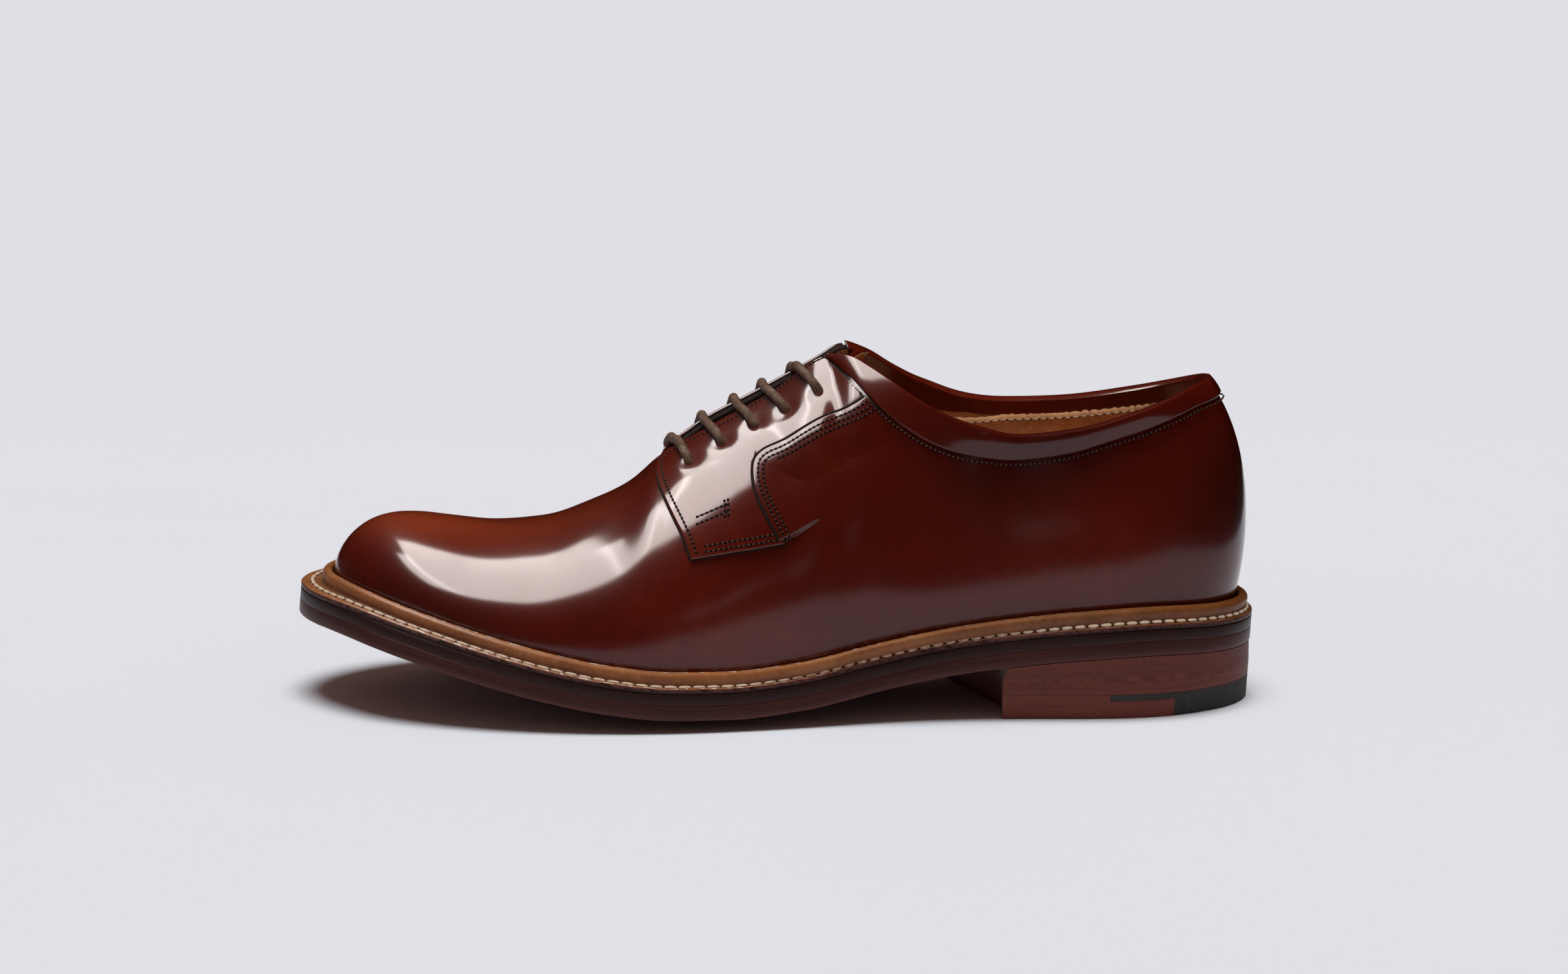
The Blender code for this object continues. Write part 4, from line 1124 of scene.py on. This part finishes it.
def heel_side(side, share, count):
    at = np.linspace(0, 0.36, 145)
    plan, normal = feather(side, at)
    taper = (0.007 + 0.033 * np.clip(at / 0.08, 0, 1)) * BALL_WIDTH
    plan = plan + normal * (margin(at) - 0.0003 - (1 - share) * taper)[:, None]
    ahead = plan[:, 0] - breast_x(plan[:, 1])
    end = np.interp(0, ahead[70:], at[70:])
    even = np.linspace(0, 1, count)**1.25 * end
    return along_line(even, at, plan)


def heel_plan(share, rows=70, cols=21):
    """Plan of a heel layer: rows from the back to the breast, columns medial to lateral."""
    across = np.linspace(0, 1, cols)[None, :, None]
    run = np.linspace(0, 1, rows)[:, None]
    lateral, medial = heel_side(1, share, rows), heel_side(-1, share, rows)
    plan = medial[:, None] * (1 - across) + lateral[:, None] * across
    plan[..., 0] += (breast_x(plan[-1, :, 1]) - plan[-1, :, 0])[None, :] * run**4
    return plan


def heel_layer(name, high, low, mat, slot, nodes, tool=None, how=None):
    """A heel layer between two heights; high is None for the outsole's underside."""
    top_height = float(sole_height(np.array(-0.3 * SHOE_LENGTH), np.array(0.0))) - SOLE_DEPTH

    def sheet(height):
        plan = heel_plan(height / top_height)
        return np.concatenate([plan, np.full(plan.shape[:2] + (1,), height)], -1)

    steps = np.linspace(0, 1, 4)
    if high is None:
        top, bottom = sole_point(heel_plan(1.0), SOLE_DEPTH + 0.2 * GAP), sheet(low)
        sheets = [top * (1 - t) + bottom * t for t in steps]
    else:
        sheets = [sheet(high * (1 - t) + low * t) for t in steps]
    rows, cols = sheets[0].shape[:2]
    rim = rim_of(rows, cols)
    wall = np.stack([[sheet[i, j] for i, j in rim] for sheet in sheets], 1)
    flow = np.zeros(wall.shape)
    flow[..., 0] = arc_length(wall)
    flow[..., 1] = HEEL_DEPTH - wall[..., 2]
    parts = [(wall, grid_faces(len(rim), len(steps), close_rows=True), 0)]
    flows = [flow]
    for face in (sheets[0], sheets[-1]):
        parts.append((face, grid_faces(rows, cols), 0))
        flows.append(face * (1, 1, 0))
    obj = build(name, parts, [mat], nodes, flows=flows, merge=0.00002, smooth=False)
    if tool is not None:
        cut = obj.modifiers.new("cut", "BOOLEAN")
        cut.solver, cut.operation, cut.object = "EXACT", how, tool
        settle(obj)
    corners(obj)


def corners(obj, angle=40):
    """Smooth shading that keeps edges sharper than the angle."""
    for poly in obj.data.polygons:
        poly.use_smooth = True
    bm = bmesh.new()
    bm.from_mesh(obj.data)
    for edge in bm.edges:
        if len(edge.link_faces) == 2:
            edge.smooth = edge.calc_face_angle(0) < math.radians(angle)
    bm.to_mesh(obj.data)
    bm.free()


def step_tool(slack):
    """The room of the rubber tip: full height at the back, a thin strip ahead of it."""
    tip, strip = [(front - 0.5) * SHOE_LENGTH + slack for front in (TIP_FRONT, STRIP_FRONT)]
    back = -0.55 * SHOE_LENGTH
    step, over, under = TOP_PIECE_HEIGHT - TIP_STRIP - slack, TOP_PIECE_HEIGHT + 0.01, -0.01
    profile = ((back, under), (tip, under), (tip, step), (strip, step), (strip, over), (back, over))
    bm = bmesh.new()
    ends = []
    for y in (-0.6 * BALL_WIDTH, 0.6 * BALL_WIDTH):
        ends.append([bm.verts.new((x, y, z)) for x, z in profile])
        bm.faces.new(ends[-1])
    for i in range(len(profile)):
        j = (i + 1) % len(profile)
        bm.faces.new((ends[0][i], ends[0][j], ends[1][j], ends[1][i]))
    bmesh.ops.recalc_face_normals(bm, faces=bm.faces)
    mesh = bpy.data.meshes.new("step")
    bm.to_mesh(mesh)
    bm.free()
    return place_object("step", mesh)


def soles_and_heel():
    under_welt = WELT_THICKNESS + 0.2 * GAP
    under_midsole = WELT_THICKNESS + 1.5 * GAP + MIDSOLE_THICKNESS

    def flush(at):
        return margin(at) - 0.00005

    sole_layer("midsole_layer", flush, under_welt, under_midsole + 0.2 * GAP, "sole",
               ["midsole"], 0.0001)
    sole_layer("outsole_layer", flush, under_midsole + 0.4 * GAP, SOLE_DEPTH, "sole",
               ["outsole"], 0.0007, 0.0001, floor=True)
    sole_layer("insole_sock", lambda at: 0 * at - WALL - 2 * GAP, -INSOLE_RISE,
               WELT_THICKNESS - GAP, "suede", ["insole"], 0.0008)
    low_lift = TOP_PIECE_HEIGHT + 0.3 * GAP
    split = low_lift + LIFT_HEIGHT
    room, form = step_tool(0.00005), step_tool(0.0)
    for row in (
            # name, high, low, material, slot, solids, tool, how it cuts
            ("heel_stack_top", None, split + 0.2 * GAP, "heel", "heel_leather",
             ["heel_lift_upper"]),
            ("heel_stack_low", split, low_lift, "heel", "heel_leather", ["heel_lift_lower"]),
            ("heel_top_lift", TOP_PIECE_HEIGHT, 0.0, "heel", "heel_leather", ["heel_top_piece"],
             room, "DIFFERENCE"),
            ("heel_rubber_tip", TOP_PIECE_HEIGHT, 0.0, "rubber", "tip_rubber",
             ["heel_quarter_tip"], form, "INTERSECT")):
        heel_layer(*row)
    for tool in (room, form):
        bpy.data.objects.remove(tool, do_unlink=True)


# Stitches

def resample(path, pitch):
    run = arc_length(path[:, :3])
    count = max(int(round(run[-1] / pitch)), 2)
    return along_line(np.linspace(0, run[-1], count + 1), run, path)


def stitch_bodies(path, normal, pitch, width, height, fill, tilt):
    """Fat little bars laid end to end along a path: one block of points each, and their ends."""
    sides, cuts = (6, 4) if width < 0.001 else (10, 8)
    both = resample(np.concatenate([path, normal], 1), pitch)
    points, up = both[:, :3], both[:, 3:]
    middle = (points[1:] + points[:-1]) / 2
    facing_up = unit(up[1:] + up[:-1])
    along = points[1:] - points[:-1]
    length = np.linalg.norm(along, axis=1, keepdims=True)
    along = along / length
    side = unit(np.cross(facing_up, along))
    along = along * math.cos(tilt) + side * math.sin(tilt)
    side = np.cross(facing_up, along)
    t = np.linspace(-1, 1, cuts + 1)
    ring = turns(sides)
    swell = np.sqrt(np.clip(1 - np.abs(t)**2.6, 0.0, 1))[:, None, None]
    blocks = []
    for m, a, s, u, l in zip(middle, along, side, facing_up, length[:, 0]):
        spine = m + a * (t[:, None] * l * fill / 2)
        blocks.append(spine[:, None] + s * (np.cos(ring) * width / 2 * swell)
                      + u * (np.sin(ring) * height * swell))
    return blocks, points, up


def stitch_piece(name, rows, mat, hole_size, hole_shift=0.0):
    """All the stitches of one thread as one piece, with dark domes between them as painted shade in
    the needle holes.
    """
    parts = []
    ring = turns(7)
    faces = [(k, (k + 1) % 7, 7) for k in range(7)] + [((k + 1) % 7, k, 8) for k in range(7)]
    for row in rows:
        blocks, ends, up = stitch_bodies(*row)
        parts += [(block, grid_faces(*block.shape[:2], close_cols=True), 0) for block in blocks]
        along = unit(np.gradient(ends, axis=0))
        up = unit(up - along * (up * along).sum(1, keepdims=True))
        for p, a, s, u in zip(ends, along, np.cross(up, along), up):
            # a dark dome at each needle hole, painted shade
            centre = p + s * hole_shift + u * 0.00004
            rim = centre + (a * np.cos(ring) + s * np.sin(ring)) * hole_size
            dome = np.concatenate([rim, [centre + u * hole_size * 0.25],
                                   [centre - u * hole_size * 0.6]])
            parts.append((dome, faces, 1))
    build(name, parts, [mat, "hole_shade"], merge=TINY_MERGE)


def on_skin(side, station, level, height):
    return (skin(side, station, level, height),
            directions(side, station, level)[2])


def upper_stitches():
    rows = []

    def lay(side, station, level, height, pitch=STITCH_PITCH):
        path, normal = on_skin(side, station, level, height)
        rows.append((path, normal, pitch, *UPPER_STITCH, STITCH_TILT * side))

    for side in (1, -1):
        # front edge of the tab, then on along the facing's edge
        front = facing_grid(side, np.array([0.0]), np.linspace(0.03, 0.90, 60))
        front = beside(side, front[0][0], front[1][0], 0.0021)
        throat = facing_grid(side, np.linspace(0.045, 0.985, 160), np.array([0.94]))
        lay(side, *[smooth_line(np.concatenate([a, b[:, 0]])) for a, b in zip(front, throat)],
            TAB_HEIGHT)
        # bottom edge, two rows
        row = facing_rows(np.linspace(0.055, CORNER_ROW - 0.02, 60))
        for reach in (-0.0016, -0.0034):
            lay(side, *beside(side, mirrored(side, row[:, 1]), row[:, 2], reach),
                TAB_HEIGHT - 0.00002)
        # seam behind the tab: two rows, three above the throat's bend
        station, level = seam_line(side)
        fade = seam_fade(len(station))
        for reach, first in ((0.0006, 7), (0.0021, 7), (0.0036, 120)):
            s, l = beside(side, station, level, reach)
            height = seam_height(reach) * fade - SEAM_SINK * (1 - fade)
            lay(side, *[line[first:-4] for line in (s, l, height)])
        # short stay in from the front edge, with a boxed end
        for shift in (-0.0010, 0.0010):
            lay(side, mirrored(side, np.linspace(0.574, 0.546, 20)),
                np.linspace(0.545, 0.560, 20) + shift * 14, TAB_HEIGHT)
        for s in (0.5475, 0.5440):
            lay(side, mirrored(side, np.full(8, s)), np.linspace(0.530, 0.590, 8), TAB_HEIGHT)
        # backtack at the tab's lower back corner
        for k in range(3):
            lay(side, mirrored(side, np.linspace(0.497, 0.484, 10) - 0.0015 * k),
                np.linspace(0.388, 0.384, 10) + 0.017 * k, TAB_HEIGHT * 0.9, pitch=0.0012)
        # collar band: one row just below, one on it
        at = np.linspace(0.005, CORNER_STATION[1] - 0.012, 300)
        low = table(BAND, at)[..., 0]
        for reach, height in ((0.0013, 0.00004), (-0.0013, BAND_HEIGHT + 0.00012)):
            lay(side, *beside(side, mirrored(side, at), low, reach), height)
    stitch_piece("upper_stitches", rows, "brown_thread", 0.00046)


def smooth_line(values, passes=14):
    out = values.copy()
    for _ in range(passes):
        out[1:-1] = (out[:-2] + 2 * out[1:-1] + out[2:]) / 4
    return out


def lining_stitches():
    rows = []
    at = np.linspace(0.03, 0.40, 160)
    level = np.interp(at, (0, 0.10, 0.20, 0.28, 0.36, 0.44),
                      (0.82, 0.895, 0.905, 0.905, 0.84, 0.68))
    for side in (1, -1):
        path, normal = on_skin(side, mirrored(side, at), level, -(WALL + 0.0017))
        rows.append((path, -normal, LINING_PITCH, *LINING_STITCH, 0.0))
    stitch_piece("lining_stitches", rows, "cream_thread", 0.0003)


def welt_stitches():
    rows = []
    for side in (1, -1):
        for first, last, pitch, width, tall, fill in (
                (0.46, 1.0, WELT_PITCH["fore"], 0.0013, 0.0006, 0.96),
                (0.0, 0.46, WELT_PITCH["heel"], 0.0016, 0.0008, 0.95)):
            at = np.linspace(first, last, 400)
            plan, normal = feather(side, at)
            inset = np.interp(at, (0, 0.1, 0.4, 0.55, 0.8, 0.93, 1),
                              (0.0018, 0.0013, 0.0010, 0.0013, 0.0018, 0.0026, 0.0034))
            path = sole_point(plan + normal * (margin(at) - inset)[:, None], 0.0)
            rows.append((path, 0 * path + (0, 0, 1), pitch, width, tall, fill, 0.0))
    stitch_piece("welt_stitches", rows, "cream_thread", 0.00055, 0.0003)


# Lace

def tube(path, radius, sides=14):
    """Rings of points round a path, and their flow values."""
    along = unit(np.gradient(path, axis=0))
    ref = np.zeros_like(path)
    side = np.cross(along[0], (0, 0, 1.0))
    for i, a in enumerate(along):
        side = unit(side - a * (side @ a))
        ref[i] = side
    ring = turns(sides)
    points = (path[:, None] + ref[:, None] * np.cos(ring) * radius
              + np.cross(along, ref)[:, None] * np.sin(ring) * radius)
    flow = np.zeros(points.shape)
    flow[..., 0] = arc_length(path)[:, None]
    flow[..., 1] = ring[..., 0]
    return points, flow


def smooth_path(points, step):
    run = arc_length(points)
    fine = np.linspace(0, run[-1], max(int(run[-1] / step), 8))
    return smooth_line(through(run, points, fine), 3)


def bar(i):
    """One bar's way: up out of the outer eyelet, across the tongue, down the inner one."""
    clear = TAB_HEIGHT + LACE_RADIUS * 0.92
    ends = []
    for side in (1, -1):
        at, seat = [values[i] for values in eyelet_places(side)]
        level = np.array([seat, seat, seat + 0.006, seat + 0.022, seat + 0.5 * (1 - seat), 1.0])
        height = np.array([-0.0045, -0.0010, clear * 0.55, clear, clear, clear - 0.0006])
        climb = np.clip((level - seat) / (1 - seat), 0, 1)
        top = at + LACE_SLANT if side > 0 else crossing(EYELETS[i][0], 0.0020)
        ends.append(skin(side, at + (top - at) * climb, level, height))
    middle = (ends[0][-1:] + ends[1][-1:]) / 2
    middle[:, 2] -= 0.0006
    return np.concatenate([ends[0], middle, ends[1][::-1]])


def lace():
    """One cord: the first bar in its middle, each end working up through every other eyelet."""
    bars = [bar(i) for i in range(5)]
    parts, flows = [], []
    for way in ((bars[0][::-1], bars[1], bars[3][::-1]), (bars[0][-1:], bars[2][::-1], bars[4])):
        points, flow = tube(smooth_path(np.concatenate(way), 0.0006), LACE_RADIUS)
        parts += capped(points)
        flows += [flow, flow[0], flow[-1]]
    build("shoe_lace", parts, ["cord"],
          ["lace_bar_%d" % (i + 1) for i in range(5)], flows=flows, merge=TINY_MERGE)


def eyelet_shadows():
    """Painted shadow in the eyelets' mouths: dark cones round the cord."""
    parts = []
    ring = turns(20)
    for side in (1, -1):
        for at, seat in zip(*eyelet_places(side)):
            around, _, normal = directions(side, at, seat)
            around = unit(around)
            up = np.cross(normal, around)
            centre = skin(side, at, seat, TAB_HEIGHT - MOUTH_DEPTH)
            rim = centre + (around * np.cos(ring) + up * np.sin(ring)) * MOUTH_RADIUS
            deep = centre - normal * MOUTH_DEPTH + (rim - centre) * 0.7
            parts += capped(np.stack([rim, deep]))
    build("eyelet_mouth_shadows", parts, ["hole_shade"], merge=TINY_MERGE)


# Stage, lights and camera

def stage():
    mat = plain("studio_floor", ((0.3, (0.792, 0.782, 0.830)), (0.7, (0.800, 0.790, 0.838))),
                (3.0,), Roughness=0.9, Specular_IOR_Level=0.0)
    mesh = bpy.data.meshes.new("floor")
    left, right, back, front = -0.36, 0.6, -0.5, 0.285
    mesh.from_pydata([(left, back, 0), (right, back, 0), (right, front, 0), (left, front, 0)],
                     [], [(0, 1, 2, 3)])
    mesh.materials.append(mat)
    floor = place_object("floor", mesh)
    floor.location.z = -0.0002


def lamp(name, kind, energy, toward, location=(0, 0, 2), **props):
    data = bpy.data.lights.new(name, kind)
    data.energy = energy
    for key, value in props.items():
        setattr(data, key, value)
    obj = place_object(name, data)
    obj.location = location
    obj.rotation_mode = "QUATERNION"
    obj.rotation_quaternion = Vector(toward).to_track_quat("-Z", "Y")
    return obj


def lights():
    world = bpy.data.worlds.new("studio")
    bpy.context.scene.world = world
    world.use_nodes = True
    world.node_tree.nodes["Background"].inputs[0].default_value = (0.745, 0.738, 0.783, 1)
    for ray in ("diffuse", "glossy", "transmission", "scatter"):
        setattr(world.cycles_visibility, ray, False)
    key = lamp("key", "SUN", 2.44, (0.01, -0.10, -0.99), angle=math.radians(28),
               color=(1.0, 1.092, 1.111))
    fill = lamp("fill", "SUN", 0.55, (0.0, -0.25, -0.97), angle=math.radians(170),
                color=(1.0, 0.60, 0.50))
    key.visible_glossy = fill.visible_glossy = False
    # the overhead softbox, an L of two sheets, seen in the gloss only
    sheets = (
        # name, energy, x, y, z, width, depth
        ("softbox_left", 24.0, 0.43, 0.200, 1.0, 0.43, 1.30),
        ("softbox_right", 10.3, 0.745, 0.360, 1.001, 0.27, 0.90),
    )
    for name, energy, x, y, z, wide, deep in sheets:
        box = lamp(name, "AREA", energy, (0, 0, -1), (x, y, z), shape="RECTANGLE",
                   size=wide, size_y=deep, color=(1.0, 0.935, 0.89))
        box.rotation_quaternion = Quaternion((0, 0, 1), math.radians(-7))
        box.visible_diffuse = False
    # a narrow slanted card makes the faint streak on the quarter
    glow = lamp("glow", "AREA", 0.021, (0, -1, 0), (-0.205, 1.6, 0.068), shape="RECTANGLE",
                size=0.045, size_y=0.15)
    glow.rotation_quaternion = (Quaternion((0, 1, 0), math.radians(-37))
                                @ glow.rotation_quaternion)
    glow.visible_diffuse = False


def camera():
    data = bpy.data.cameras.new("camera")
    data.lens, data.sensor_width = 73.84, 36.0
    data.clip_start, data.clip_end = 0.05, 60.0
    obj = place_object("camera", data)
    obj.location = (-0.003, 1.0003, 0.2506)
    aim = Vector((-0.003, 0.0, 0.067)) - obj.location
    obj.rotation_euler = aim.to_track_quat("-Z", "Y").to_euler()
    bpy.context.scene.camera = obj


upper()
for which in (1, -1):
    facing(which)
    seam_edge(which)
    cut_edges(which)
collar_band()
tongue()
lining()
welt()
soles_and_heel()
upper_stitches()
lining_stitches()
welt_stitches()
lace()
eyelet_shadows()
stage()
lights()
camera()
bpy.context.scene.view_settings.view_transform = "Standard"
